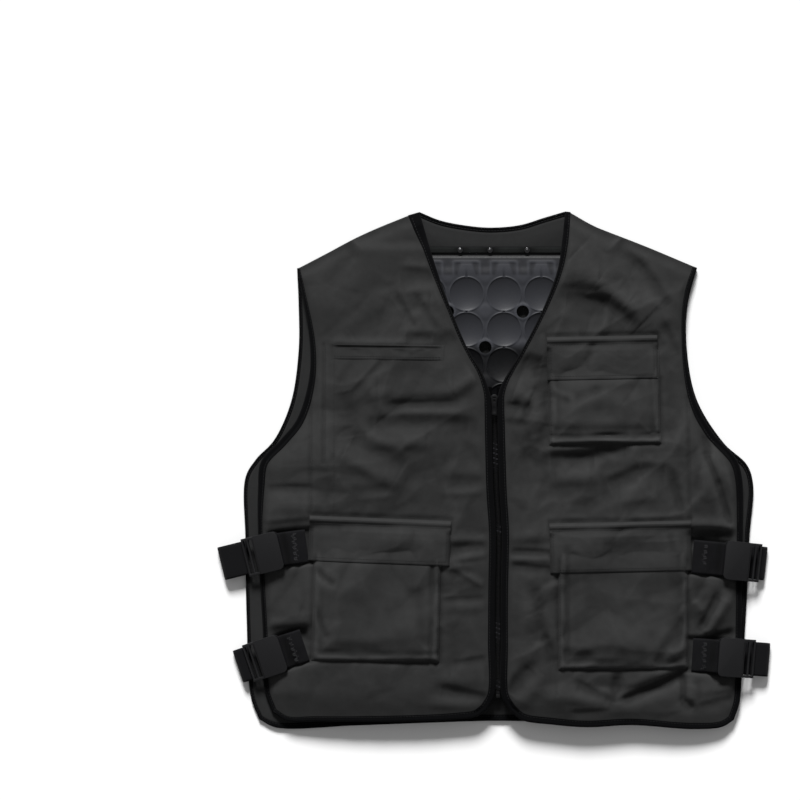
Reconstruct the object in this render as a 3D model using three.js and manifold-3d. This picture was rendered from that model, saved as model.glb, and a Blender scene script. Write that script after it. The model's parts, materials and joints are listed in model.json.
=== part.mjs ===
// A cooling vest lying flat on its back with its zip closed. Millimetres, +Z up.
// +Y points to the neck and +X to the wearer's left, so the vest's front faces +Z.
// The origin lies on the underside of the back panel, half way up the vest.
import * as THREE from "three";
import { mergeVertices } from "three/addons/utils/BufferGeometryUtils.js";
import Module from "manifold-3d";

const wasm = await Module();
wasm.setup();

// Overall sizes of the lying vest
const halfWidth = 304;
const bodyLength = 620;
const frontRise = 30;
const foldHeight = 5;

// Cloth and tape
const clothThickness = 2;
const bindingWidth = 8.6;
const bindingThickness = 3.4;
const backLift = 2.4;
const clearance = 0.3;

// Zip
const zipTapeWidth = 15;
const zipTapeThickness = 1;
const zipTeethWidth = 5;
const zipTeethThickness = 2.2;
const sliderWidth = 9;
const sliderLength = 13;
const sliderThickness = 2;
const pullWidth = 4.5;
const pullLength = 20;
const pullThickness = 1.4;
const stopLength = 9;

// Patch pockets
const pocketDepth = 9;
const pocketWall = 1.6;
const pocketCrown = 2;
const flapThickness = 2;
const flapRoll = 3.6;
const rollDrop = 4;
const creaseDrop = 9;
const flapGap = 2.4;
const mouthDrop = 18;
const weltWidth = 135;
const weltHeight = 16;

// Side straps and their buckles
const webbingWidth = 40;
const webbingThickness = 1.6;
const buckleWall = 3;
const buckleWidth = webbingWidth + 2 * buckleWall;
const buckleCorner = 5;
const buckleBevel = 1.2;
const buckleLength = 30;
const buckleThickness = 9;
const prongThickness = 4;
const prongLength = 20;
const prongWidth = webbingWidth * 0.175;
const windowLength = 9;
const ladderLength = 15;
const ladderBar = 2.2;
const slotDepth = 5;
const buckleTilt = 12;
const webbingRest = 0.9;
const tuckedLength = 26;

// Cooling panel
const dishDiameter = 40.6;
const dishPitch = 44.9;
const dishRowPitch = 42.6;
const dishDepth = 5;
const dishColumns = 6;
const dishRows = 6;
const coolingThickness = 7.6;
const flangeThickness = 2;
const flangeWidth = 9;
const flangeSlope = 7;
const channelLength = 25;
const holeDiameter = 15;
const hangerHeight = 6;
const hangerThickness = 1.6;
const studDiameter = 7;
const studThickness = 1.8;

// Grid of the sheets: columns across and rows up
const frontGrid = { columns: 12, rows: 25 };
const backGrid = { columns: 14, rows: 17 };

// Outer edges, in shares of halfWidth across and of bodyLength up from the hem
const rightFrontOutline = {
  hem: [
    { x: -0.878, y: 0.031 }, { x: -0.821, y: 0.015 }, { x: -0.706, y: 0.014 }, { x: -0.375, y: 0.014 },
    { x: -0.158, y: 0.018 }, { x: -0.075, y: 0.023 }, { x: -0.033, y: 0.037 },
  ],
  opening: [
    { x: -0.033, y: 0.037 }, { x: -0.003, y: 0.065 }, { x: -0.001, y: 0.170 }, { x: 0.000, y: 0.267 },
    { x: 0.003, y: 0.373 }, { x: -0.008, y: 0.470 }, { x: -0.013, y: 0.576 }, { x: -0.018, y: 0.640 },
    { x: -0.033, y: 0.665 }, { x: -0.058, y: 0.693 }, { x: -0.110, y: 0.735 }, { x: -0.197, y: 0.839 },
    { x: -0.249, y: 0.915 }, { x: -0.298, y: 0.998 },
  ],
  shoulder: [
    { x: -0.781, y: 0.889 }, { x: -0.667, y: 0.917 }, { x: -0.509, y: 0.957 }, { x: -0.298, y: 0.998 },
  ],
  side: [
    { x: -0.878, y: 0.031 }, { x: -0.909, y: 0.074 }, { x: -0.916, y: 0.190 }, { x: -0.933, y: 0.344 },
    { x: -0.935, y: 0.460 }, { x: -0.923, y: 0.516 }, { x: -0.844, y: 0.559 }, { x: -0.781, y: 0.598 },
    { x: -0.734, y: 0.675 }, { x: -0.730, y: 0.745 }, { x: -0.761, y: 0.838 }, { x: -0.781, y: 0.889 },
  ],
};
const leftFrontOutline = {
  hem: [
    { x: 0.941, y: 0.016 }, { x: 0.895, y: 0.003 }, { x: 0.785, y: -0.001 }, { x: 0.536, y: 0.007 },
    { x: 0.363, y: 0.003 }, { x: 0.225, y: 0.008 }, { x: 0.103, y: 0.017 }, { x: 0.055, y: 0.036 },
  ],
  opening: [
    { x: 0.055, y: 0.036 }, { x: 0.024, y: 0.065 }, { x: 0.021, y: 0.170 }, { x: 0.021, y: 0.267 },
    { x: 0.025, y: 0.373 }, { x: 0.015, y: 0.470 }, { x: 0.009, y: 0.576 }, { x: 0.009, y: 0.640 },
    { x: 0.022, y: 0.662 }, { x: 0.056, y: 0.692 }, { x: 0.105, y: 0.731 }, { x: 0.189, y: 0.812 },
    { x: 0.245, y: 0.886 }, { x: 0.264, y: 0.944 }, { x: 0.276, y: 0.999 },
  ],
  shoulder: [
    { x: 0.797, y: 0.890 }, { x: 0.596, y: 0.931 }, { x: 0.398, y: 0.969 }, { x: 0.276, y: 0.999 },
  ],
  side: [
    { x: 0.941, y: 0.016 }, { x: 0.965, y: 0.054 }, { x: 0.972, y: 0.209 }, { x: 0.976, y: 0.383 },
    { x: 0.973, y: 0.484 }, { x: 0.951, y: 0.520 }, { x: 0.856, y: 0.573 }, { x: 0.789, y: 0.634 },
    { x: 0.752, y: 0.727 }, { x: 0.752, y: 0.805 }, { x: 0.769, y: 0.851 }, { x: 0.797, y: 0.890 },
  ],
};
const backOutline = {
  hem: [
    { x: -0.931, y: 0.017 }, { x: -0.864, y: 0.001 }, { x: -0.548, y: 0.005 }, { x: -0.272, y: 0.010 },
    { x: 0.004, y: 0.014 }, { x: 0.201, y: 0.012 }, { x: 0.477, y: 0.009 }, { x: 0.753, y: 0.008 },
    { x: 0.872, y: 0.012 }, { x: 0.927, y: 0.025 },
  ],
  rightSide: [
    { x: -0.931, y: 0.017 }, { x: -0.964, y: 0.062 }, { x: -0.980, y: 0.209 }, { x: -0.985, y: 0.364 },
    { x: -0.985, y: 0.484 }, { x: -0.943, y: 0.520 }, { x: -0.872, y: 0.557 }, { x: -0.805, y: 0.631 },
    { x: -0.775, y: 0.731 }, { x: -0.775, y: 0.820 }, { x: -0.781, y: 0.889 },
  ],
  leftSide: [
    { x: 0.927, y: 0.025 }, { x: 0.963, y: 0.074 }, { x: 0.990, y: 0.224 }, { x: 1.004, y: 0.373 },
    { x: 1.018, y: 0.472 }, { x: 0.994, y: 0.509 }, { x: 0.903, y: 0.551 }, { x: 0.797, y: 0.634 },
    { x: 0.757, y: 0.731 }, { x: 0.759, y: 0.816 }, { x: 0.797, y: 0.890 },
  ],
  shoulders: [
    { x: -0.781, y: 0.889 }, { x: -0.667, y: 0.917 }, { x: -0.509, y: 0.957 }, { x: -0.298, y: 0.998 },
    { x: -0.217, y: 0.982 }, { x: -0.114, y: 0.972 }, { x: -0.016, y: 0.968 }, { x: 0.099, y: 0.973 },
    { x: 0.193, y: 0.987 }, { x: 0.276, y: 0.999 }, { x: 0.398, y: 0.969 }, { x: 0.596, y: 0.931 },
    { x: 0.797, y: 0.890 },
  ],
};
const neckStart = 3;
const neckEnd = 9;

// The back rises towards its bound edges over these shares of its width and its length
const sideRise = { near: 0.06, far: 0.2 };
const endRise = { near: 0.02, far: 0.07 };

// Height of a front sheet in shares of frontRise: a row for each section from the hem up,
// a column for each place from the side edge to the zip
const sectionPlaces = [0, 0.1, 0.28, 0.62, 1];
const frontSections = [
  { up: 0.00, side: 0.27, rise: 0.42, flank: 0.57, crown: 0.63, zip: 0.58 },
  { up: 0.07, side: 0.27, rise: 0.56, flank: 0.82, crown: 0.88, zip: 0.78 },
  { up: 0.30, side: 0.27, rise: 0.60, flank: 0.92, crown: 1.00, zip: 0.86 },
  { up: 0.50, side: 0.30, rise: 0.66, flank: 0.94, crown: 1.00, zip: 0.88 },
  { up: 0.66, side: 0.42, rise: 0.70, flank: 0.90, crown: 0.95, zip: 0.84 },
  { up: 0.84, side: 0.40, rise: 0.60, flank: 0.74, crown: 0.76, zip: 0.62 },
  { up: 1.00, side: 0.24, rise: 0.24, flank: 0.25, crown: 0.25, zip: 0.24 },
];

// Dents and ridges of the cloth: a line each, with its reach in shares of halfWidth
// and its height in shares of foldHeight, below zero for a dent
const rightFrontFolds = [
  { x1: -0.39, y1: 0.87, x2: -0.25, y2: 0.76, width: 0.060, height: -0.90 },
  { x1: -0.25, y1: 0.89, x2: -0.19, y2: 0.80, width: 0.050, height: 0.60 },
  { x1: -0.57, y1: 0.65, x2: -0.45, y2: 0.71, width: 0.055, height: -0.60 },
  { x1: -0.44, y1: 0.64, x2: -0.10, y2: 0.64, width: 0.055, height: 0.90 },
  { x1: -0.41, y1: 0.60, x2: -0.13, y2: 0.58, width: 0.055, height: -0.80 },
  { x1: -0.56, y1: 0.56, x2: -0.42, y2: 0.51, width: 0.055, height: -0.60 },
  { x1: -0.41, y1: 0.55, x2: -0.25, y2: 0.50, width: 0.055, height: 0.60 },
  { x1: -0.17, y1: 0.32, x2: -0.04, y2: 0.28, width: 0.050, height: 0.60 },
  { x1: -0.22, y1: 0.08, x2: -0.07, y2: 0.05, width: 0.060, height: -0.80 },
  { x1: -0.92, y1: 0.42, x2: -0.77, y2: 0.44, width: 0.055, height: 0.60 },
];
const leftFrontFolds = [
  { x1: 0.14, y1: 0.73, x2: 0.19, y2: 0.60, width: 0.060, height: -1.00 },
  { x1: 0.22, y1: 0.83, x2: 0.41, y2: 0.80, width: 0.070, height: -0.60 },
  { x1: 0.50, y1: 0.85, x2: 0.66, y2: 0.81, width: 0.070, height: 0.50 },
  { x1: 0.22, y1: 0.52, x2: 0.43, y2: 0.50, width: 0.055, height: -0.90 },
  { x1: 0.26, y1: 0.47, x2: 0.51, y2: 0.46, width: 0.055, height: 0.70 },
  { x1: 0.81, y1: 0.55, x2: 0.87, y2: 0.44, width: 0.055, height: -0.70 },
  { x1: 0.16, y1: 0.25, x2: 0.20, y2: 0.13, width: 0.050, height: -0.80 },
  { x1: 0.71, y1: 0.09, x2: 0.48, y2: 0.05, width: 0.055, height: -0.90 },
  { x1: 0.81, y1: 0.06, x2: 0.94, y2: 0.08, width: 0.050, height: 0.60 },
];

// Pockets: the middle of the flap's top edge, widths and shifts in shares of halfWidth,
// drops in shares of bodyLength, tilts in degrees
const pockets = [
  {
    name: "right_lower", side: "right", x: -0.452, y: 0.407, flapWidth: 0.5559, flapDrop: 0.0871,
    bodyWidth: 0.5033, bodyShift: -0.0099, bodyDrop: 0.2774, flapTilt: -2.2, bodyTilt: -1,
  },
  {
    name: "left_lower", side: "left", x: 0.489, y: 0.400, flapWidth: 0.5559, flapDrop: 0.0968,
    bodyWidth: 0.5132, bodyShift: 0.0099, bodyDrop: 0.2855, flapTilt: 1.2, bodyTilt: 0.5,
  },
  {
    name: "left_chest", side: "left", x: 0.419, y: 0.758, flapWidth: 0.4342, flapDrop: 0.0839,
    bodyWidth: 0.4408, bodyShift: 0.0066, bodyDrop: 0.2097, flapTilt: 1.1, bodyTilt: 0.8,
  },
];
const welt = { side: "right", x: -0.422, y: 0.724, tilt: -1.5 };

// Side straps: where the webbing leaves the pocket's edge, where the buckle's socket starts,
// and where the back strap turns round, in shares
const straps = [
  {
    name: "right_upper", side: "right", x1: -0.742, y1: 0.353, x2: -0.840, y2: 0.347,
    reach: 1.078, turnY: 0.318,
  },
  {
    name: "right_lower", side: "right", x1: -0.750, y1: 0.162, x2: -0.832, y2: 0.149,
    reach: 1.012, turnY: 0.119,
  },
  {
    name: "left_upper", side: "left", x1: 0.775, y1: 0.333, x2: 0.896, y2: 0.327,
    reach: 1.066, turnY: 0.318,
  },
  {
    name: "left_lower", side: "left", x1: 0.775, y1: 0.143, x2: 0.872, y2: 0.140,
    reach: 1.078, turnY: 0.132,
  },
];

// Middle of the dish field and the press studs along the hanger strip, in shares
const coolingPlace = { x: -0.039, y: 0.9287 };
const studPlaces = [-0.138, -0.020, 0.126];

const finishes = {
  cloth: { color: 0x3b3b3b, roughness: 0.85, metalness: 0 },
  binding: { color: 0x151515, roughness: 0.8, metalness: 0 },
  webbing: { color: 0x18181a, roughness: 0.75, metalness: 0 },
  plastic: { color: 0x1e1e20, roughness: 0.5, metalness: 0 },
  cooling: { color: 0x46464f, roughness: 0.45, metalness: 0 },
  steel: { color: 0x4a4a4c, roughness: 0.35, metalness: 0.9 },
};

const vest = new THREE.Group();

function add(name, geometry, finish, parent = vest) {
  const mesh = new THREE.Mesh(geometry, new THREE.MeshStandardMaterial(finishes[finish]));
  mesh.name = name;
  parent.add(mesh);
  return mesh;
}

// The place of a table's row in millimetres
function place(row) {
  return new THREE.Vector3(row.x * halfWidth, (row.y - 0.5) * bodyLength, 0);
}

// Evenly spaced points on the smooth line through a table's rows
function edge(rows, steps) {
  const curve = new THREE.CatmullRomCurve3(rows.map(place), false, "centripetal");
  curve.arcLengthDivisions = 400;
  return curve.getSpacedPoints(steps);
}

// A smooth value between stops, with the slope of its neighbours at each stop
function between(stops, values, at) {
  const last = stops.length - 1;
  let k = 0;
  while (k < last - 1 && at > stops[k + 1]) k += 1;
  const slope = (i) => {
    const a = Math.max(i - 1, 0);
    const b = Math.min(i + 1, last);
    return (values[b] - values[a]) / (stops[b] - stops[a]);
  };
  const h = stops[k + 1] - stops[k];
  const t = THREE.MathUtils.clamp((at - stops[k]) / h, 0, 1);
  const s = 1 - t;
  return values[k] * s * s * (1 + 2 * t) + values[k + 1] * t * t * (1 + 2 * s)
    + h * s * t * (slope(k) * s - slope(k + 1) * t);
}

function facingOut(geometry) {
  const p = geometry.attributes.position;
  const index = geometry.index.array;
  const [a, b, c] = [new THREE.Vector3(), new THREE.Vector3(), new THREE.Vector3()];
  let volume = 0;
  for (let i = 0; i < index.length; i += 3) {
    a.fromBufferAttribute(p, index[i]);
    b.fromBufferAttribute(p, index[i + 1]);
    c.fromBufferAttribute(p, index[i + 2]);
    volume += a.dot(b.cross(c));
  }
  if (volume < 0) {
    for (let i = 0; i < index.length; i += 3) {
      [index[i], index[i + 1]] = [index[i + 1], index[i]];
    }
  }
  geometry.computeVertexNormals();
  return geometry;
}

function meshFrom(points, triangles) {
  const geometry = new THREE.BufferGeometry();
  const numbers = points.flatMap((v) => [v.x, v.y, v.z]);
  geometry.setAttribute("position", new THREE.Float32BufferAttribute(numbers, 3));
  geometry.setIndex(triangles);
  return facingOut(geometry);
}

// A closed solid between an upper and a lower grid of points
function sheet(columns, rows, upper, lower) {
  const points = [];
  const triangles = [];
  const wide = columns + 1;
  const layer = wide * (rows + 1);
  for (const surface of [upper, lower]) {
    for (let j = 0; j <= rows; j += 1) {
      for (let i = 0; i <= columns; i += 1) points.push(surface(i, j));
    }
  }
  const quad = (a, b, c, d) => triangles.push(a, b, c, a, c, d);
  for (let j = 0; j < rows; j += 1) {
    for (let i = 0; i < columns; i += 1) {
      const a = j * wide + i;
      quad(a, a + 1, a + wide + 1, a + wide);
      quad(layer + a, layer + a + wide, layer + a + wide + 1, layer + a + 1);
    }
  }
  const rim = [];
  for (let i = 0; i < columns; i += 1) rim.push(i);
  for (let j = 0; j < rows; j += 1) rim.push(j * wide + columns);
  for (let i = columns; i > 0; i -= 1) rim.push(rows * wide + i);
  for (let j = rows; j > 0; j -= 1) rim.push(j * wide);
  rim.forEach((a, k) => {
    const b = rim[(k + 1) % rim.length];
    quad(a, a + layer, b + layer, b);
  });
  return meshFrom(points, triangles);
}

function raised(point, z) {
  return new THREE.Vector3(point.x, point.y, z);
}

// The highest and lowest height of a solid at a place, from its own facets
function heightsOf(source) {
  const geometry = source.index ? source : mergeVertices(source);
  const cell = 12;
  const bins = new Map();
  const p = geometry.attributes.position;
  const index = geometry.index.array;
  for (let i = 0; i < index.length; i += 3) {
    const t = [0, 1, 2].map((k) => new THREE.Vector3().fromBufferAttribute(p, index[i + k]));
    const xs = t.map((v) => Math.floor(v.x / cell));
    const ys = t.map((v) => Math.floor(v.y / cell));
    for (let gx = Math.min(...xs); gx <= Math.max(...xs); gx += 1) {
      for (let gy = Math.min(...ys); gy <= Math.max(...ys); gy += 1) {
        const key = `${gx},${gy}`;
        if (!bins.has(key)) bins.set(key, []);
        bins.get(key).push(t);
      }
    }
  }
  return (x, y) => {
    const found = [];
    for (const [a, b, c] of bins.get(`${Math.floor(x / cell)},${Math.floor(y / cell)}`) ?? []) {
      const area = (b.x - a.x) * (c.y - a.y) - (c.x - a.x) * (b.y - a.y);
      if (Math.abs(area) < 1e-9) continue;
      const s = ((x - a.x) * (c.y - a.y) - (c.x - a.x) * (y - a.y)) / area;
      const t = ((b.x - a.x) * (y - a.y) - (x - a.x) * (b.y - a.y)) / area;
      if (s < -1e-6 || t < -1e-6 || s + t > 1 + 1e-6) continue;
      found.push(a.z + s * (b.z - a.z) + t * (c.z - a.z));
    }
    return found.length ? { top: Math.max(...found), bottom: Math.min(...found) } : null;
  };
}

// How far a piece has to rise to clear what lies under it, and no further
function liftOver(geometry, supports) {
  const own = heightsOf(geometry);
  geometry.computeBoundingBox();
  const { min, max } = geometry.boundingBox;
  const step = 1.5;
  const spots = [];
  for (let x = min.x; x <= max.x; x += step) {
    for (let y = min.y; y <= max.y; y += step) spots.push([x, y]);
  }
  const p = geometry.attributes.position;
  for (let i = 0; i < p.count; i += 1) spots.push([p.getX(i), p.getY(i)]);
  let lift = -Infinity;
  for (const [x, y] of spots) {
    const mine = own(x, y);
    if (!mine) continue;
    for (const support of supports) {
      const under = support(x, y);
      if (under) lift = Math.max(lift, under.top - mine.bottom);
    }
  }
  return lift + clearance;
}

function seated(geometry, supports) {
  return geometry.translate(0, 0, liftOver(geometry, supports));
}

function asSolid(geometry) {
  const plain = geometry.clone();
  for (const name of Object.keys(plain.attributes)) {
    if (name !== "position") plain.deleteAttribute(name);
  }
  const merged = mergeVertices(plain, 1e-4);
  return new wasm.Manifold(new wasm.Mesh({
    numProp: 3,
    vertProperties: new Float32Array(merged.attributes.position.array),
    triVerts: new Uint32Array(merged.index.array),
  }));
}

function asGeometry(solid) {
  const mesh = solid.getMesh();
  const geometry = new THREE.BufferGeometry();
  geometry.setAttribute("position", new THREE.BufferAttribute(mesh.vertProperties.slice(), 3));
  geometry.setIndex(Array.from(mesh.triVerts));
  geometry.computeVertexNormals();
  return geometry;
}

function cut(geometry, tools) {
  return asGeometry(tools.reduce((solid, tool) => solid.subtract(asSolid(tool)), asSolid(geometry)));
}

// Points moved from an edge path to its inner side, by a width for each point
function inset(path, widths, turn) {
  return path.map((point, i) => {
    const before = path[Math.max(i - 1, 0)];
    const after = path[Math.min(i + 1, path.length - 1)];
    const along = after.clone().sub(before).normalize();
    return new THREE.Vector3(-along.y, along.x, 0).multiplyScalar(turn * widths[i]).add(point);
  });
}

// The sheet spanned by four edges of points
function span(bottom, top, first, last) {
  const columns = bottom.length - 1;
  const rows = first.length - 1;
  return (i, j) => {
    const u = i / columns;
    const v = j / rows;
    const corner = new THREE.Vector3()
      .addScaledVector(bottom[0], (1 - u) * (1 - v)).addScaledVector(bottom[columns], u * (1 - v))
      .addScaledVector(top[0], (1 - u) * v).addScaledVector(top[columns], u * v);
    return new THREE.Vector3()
      .addScaledVector(bottom[i], 1 - v).addScaledVector(top[i], v)
      .addScaledVector(first[j], 1 - u).addScaledVector(last[j], u).sub(corner);
  };
}

function segmentDistance(x, y, fold) {
  const ax = fold.x1 * halfWidth;
  const ay = (fold.y1 - 0.5) * bodyLength;
  const bx = fold.x2 * halfWidth - ax;
  const by = (fold.y2 - 0.5) * bodyLength - ay;
  const t = THREE.MathUtils.clamp(((x - ax) * bx + (y - ay) * by) / (bx * bx + by * by), 0, 1);
  return Math.hypot(x - ax - t * bx, y - ay - t * by);
}

function foldsAt(folds, x, y) {
  return folds.reduce((sum, fold) => {
    const reach = segmentDistance(x, y, fold) / (fold.width * halfWidth);
    return sum + foldHeight * fold.height * Math.exp(-reach * reach);
  }, 0);
}

// Height of the middle of a front sheet, without its folds
function frontHeight(u, v) {
  const ups = frontSections.map((row) => row.up);
  const across = ["side", "rise", "flank", "crown", "zip"]
    .map((key) => between(ups, frontSections.map((row) => row[key]), v));
  return frontRise * between(sectionPlaces, across, u);
}

// Folds fade out towards the bound edges
function fade(u, v) {
  const edgeShare = 0.12;
  const near = Math.min(u, 1 - u, v, 1 - v);
  return THREE.MathUtils.smoothstep(near, 0, edgeShare);
}

function ribbon(path, inner, heights, thickness) {
  const sides = [path, inner];
  const at = (offset) => (i, j) => raised(sides[i][j], heights[j] + offset);
  return sheet(1, path.length - 1, at(thickness / 2), at(-thickness / 2));
}

// One front: the cloth sheet and the tape folded round its free edges
function front(side, outline, folds) {
  const { columns, rows } = frontGrid;
  const turn = side === "right" ? 1 : -1;
  const hem = edge(outline.hem, columns);
  const opening = edge(outline.opening, rows);
  const outer = edge(outline.side, rows);
  const path = [...outer.slice().reverse(), ...hem.slice(1), ...opening.slice(1)];
  const neckShare = 0.66;
  const neckNarrowing = 0.7;
  const widths = path.map((_, i) => {
    const up = (i - rows - columns) / rows;
    return bindingWidth * (up > neckShare ? neckNarrowing : 1);
  });
  const inner = inset(path, widths, turn);
  const sewn = inset(path, widths.map((w) => w + clearance), turn);
  const sheetOuter = sewn.slice(0, rows + 1).reverse();
  const sheetHem = sewn.slice(rows, rows + columns + 1);
  const sheetOpening = sewn.slice(rows + columns);
  const seam = new THREE.CatmullRomCurve3(
    [sheetOuter[rows], ...outline.shoulder.slice(1, -1).map(place), sheetOpening[rows]],
    false,
    "centripetal",
  ).getSpacedPoints(columns);
  const middle = span(sheetHem, seam, sheetOuter, sheetOpening);
  const surface = (offset) => (i, j) => {
    const point = middle(i, j);
    const [u, v] = [i / columns, j / rows];
    const z = frontHeight(u, v) + fade(u, v) * foldsAt(folds, point.x, point.y);
    return raised(point, z + offset);
  };
  const cloth = sheet(columns, rows, surface(clothThickness / 2), surface(-clothThickness / 2));
  const heights = path.map((_, i) => {
    if (i <= rows) return frontHeight(0, 1 - i / rows);
    if (i <= rows + columns) return frontHeight((i - rows) / columns, 0);
    return frontHeight(1, (i - rows - columns) / rows);
  });
  const tape = ribbon(path, inner, heights, bindingThickness);
  add(`${side}_front_panel`, cloth, "cloth");
  add(`${side}_front_binding`, tape, "binding");
  return { cloth: heightsOf(cloth), tape: heightsOf(tape) };
}

// The back: one sheet that lies on the floor in the middle and rises to its bound edges
function back() {
  const { columns, rows } = backGrid;
  const hem = edge(backOutline.hem, columns);
  const right = edge(backOutline.rightSide, rows);
  const left = edge(backOutline.leftSide, rows);
  const shoulders = backOutline.shoulders;
  const neckSteps = 6;
  const seamSteps = (columns - neckSteps) / 2;
  const neck = edge(shoulders.slice(neckStart, neckEnd + 1), neckSteps);
  const path = [...right.slice().reverse(), ...hem.slice(1), ...left.slice(1)];
  const wide = (list, extra) => list.map(() => bindingWidth + extra);
  const inner = inset(path, wide(path, 0), 1);
  const sewn = inset(path, wide(path, clearance), 1);
  const neckNarrowing = 0.6;
  const neckWidth = neckNarrowing * bindingWidth;
  const neckInner = inset(neck, neck.map(() => neckWidth), -1);
  const neckSewn = inset(neck, neck.map(() => neckWidth + clearance), -1);
  const sheetRight = sewn.slice(0, rows + 1).reverse();
  const sheetLeft = sewn.slice(rows + columns);
  const rightSeam = new THREE.CatmullRomCurve3(
    [sheetRight[rows], ...shoulders.slice(1, neckStart).map(place), neckSewn[0]],
    false,
    "centripetal",
  ).getSpacedPoints(seamSteps);
  const leftSeam = new THREE.CatmullRomCurve3(
    [neckSewn[neckSteps], ...shoulders.slice(neckEnd + 1, -1).map(place), sheetLeft[rows]],
    false,
    "centripetal",
  ).getSpacedPoints(seamSteps);
  const top = [...rightSeam, ...neckSewn.slice(1, -1), ...leftSeam];
  const middle = span(sewn.slice(rows, rows + columns + 1), top, sheetRight, sheetLeft);
  const lift = (u, v) => {
    const side = 1 - THREE.MathUtils.smoothstep(Math.min(u, 1 - u), sideRise.near, sideRise.far);
    const end = 1 - THREE.MathUtils.smoothstep(Math.min(v, 1 - v), endRise.near, endRise.far);
    return backLift * Math.max(side, end);
  };
  const surface = (offset) => (i, j) => raised(middle(i, j), lift(i / columns, j / rows) + offset);
  const cloth = sheet(columns, rows, surface(clothThickness), surface(0));
  const rim = backLift + clothThickness / 2;
  const tape = ribbon(path, inner, path.map(() => rim), bindingThickness);
  add("back_panel", cloth, "cloth");
  add("back_binding", tape, "binding");
  add("neck_binding", ribbon(neck, neckInner, neck.map(() => rim), bindingThickness), "binding");
  return { cloth: heightsOf(cloth), tape: heightsOf(tape) };
}

const backSheet = back();
const frontSheet = {
  right: front("right", rightFrontOutline, rightFrontFolds),
  left: front("left", leftFrontOutline, leftFrontFolds),
};

// The zip under the edges of the two fronts: tapes, teeth, slider, pull and end stop
function zip() {
  const steps = 32;
  const start = 0.075;
  const end = 0.660;
  const straight = { from: 0.06, to: 0.67 };
  const isStraight = (row) => row.y > straight.from && row.y < straight.to;
  const line = (rows) => edge(rows.filter(isStraight), steps * 2);
  const right = line(rightFrontOutline.opening);
  const left = line(leftFrontOutline.opening);
  const middleX = (y) => {
    const find = (points) => {
      const k = Math.max(1, points.findIndex((p) => p.y > y));
      const [a, b] = [points[k - 1], points[k]];
      return a.x + (b.x - a.x) * THREE.MathUtils.clamp((y - a.y) / (b.y - a.y), 0, 1);
    };
    return (find(right) + find(left)) / 2;
  };
  const bottomAt = (y) => {
    const opening = { start: 0.037, length: 0.983 };
    const up = (y / bodyLength + 0.5 - opening.start) / opening.length;
    return frontHeight(1, up) - bindingThickness / 2;
  };
  const centre = Array.from({ length: steps + 1 }, (_, j) => {
    const y = (start + (end - start) * (j / steps) - 0.5) * bodyLength;
    return new THREE.Vector3(middleX(y), y, bottomAt(y) - zipTapeThickness - 2 * clearance);
  });
  const strip = (from, to, low, high, first = 0, last = steps) => sheet(
    1,
    last - first,
    (i, j) => centre[first + j].clone().add(new THREE.Vector3(i ? to : from, 0, high)),
    (i, j) => centre[first + j].clone().add(new THREE.Vector3(i ? to : from, 0, low)),
  );
  const half = zipTeethWidth / 2;
  const nearTeeth = half + clearance;
  add("right_zip_tape", strip(-zipTapeWidth, -nearTeeth, 0, zipTapeThickness), "binding");
  add("left_zip_tape", strip(nearTeeth, zipTapeWidth, 0, zipTapeThickness), "binding");
  const teethSteps = steps - 1;
  const teethTop = zipTapeThickness + clearance;
  add("zip_teeth", strip(-half, half, teethTop - zipTeethThickness, teethTop, 0, teethSteps), "plastic");

  const top = centre[teethSteps];
  const tail = { width: 0.6, beak: 0.4, beakLength: 0.15 };
  const halfSlider = sliderWidth / 2;
  const sliderBase = new THREE.Shape();
  sliderBase.moveTo(-halfSlider, 0);
  sliderBase.lineTo(-halfSlider * tail.width, -sliderLength);
  sliderBase.lineTo(halfSlider * tail.width, -sliderLength);
  sliderBase.lineTo(halfSlider, 0);
  sliderBase.lineTo(halfSlider * tail.beak, sliderLength * tail.beakLength);
  sliderBase.lineTo(-halfSlider * tail.beak, sliderLength * tail.beakLength);
  const slider = new THREE.ExtrudeGeometry(sliderBase, { depth: sliderThickness, bevelEnabled: false });
  const overTape = zipTapeThickness + 2 * clearance + bindingThickness;
  const overTeeth = Math.max(zipTeethThickness, overTape) + clearance;
  slider.translate(top.x, top.y, top.z + overTeeth);
  add("zip_slider", slider, "steel");

  const flare = 1.4;
  const hung = 0.2;
  const halfPull = pullWidth / 2;
  const pullShape = new THREE.Shape();
  pullShape.moveTo(-halfPull, 0);
  pullShape.lineTo(-halfPull * flare, -pullLength);
  pullShape.lineTo(halfPull * flare, -pullLength);
  pullShape.lineTo(halfPull, 0);
  const pull = new THREE.ExtrudeGeometry(pullShape, { depth: pullThickness, bevelEnabled: false });
  const pullHeight = top.z + overTeeth + sliderThickness + clearance;
  pull.translate(top.x, top.y - sliderLength * hung, pullHeight);
  add("zip_pull", pull, "steel");

  const stop = new THREE.BoxGeometry(zipTeethWidth, stopLength, zipTeethThickness);
  const stopY = centre[0].y - clearance - stopLength / 2;
  stop.translate(centre[0].x, stopY, centre[0].z + teethTop - zipTeethThickness);
  add("zip_end_stop", stop, "steel");
}
zip();

// A place on a pocket: across and down from the middle of its flap's top edge
function pocketPoint(pocket, tilt, across, down) {
  const turn = THREE.MathUtils.degToRad(tilt);
  const origin = place(pocket);
  return new THREE.Vector3(
    origin.x + across * Math.cos(turn) + down * Math.sin(turn),
    origin.y + across * Math.sin(turn) - down * Math.cos(turn),
    0,
  );
}

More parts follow.
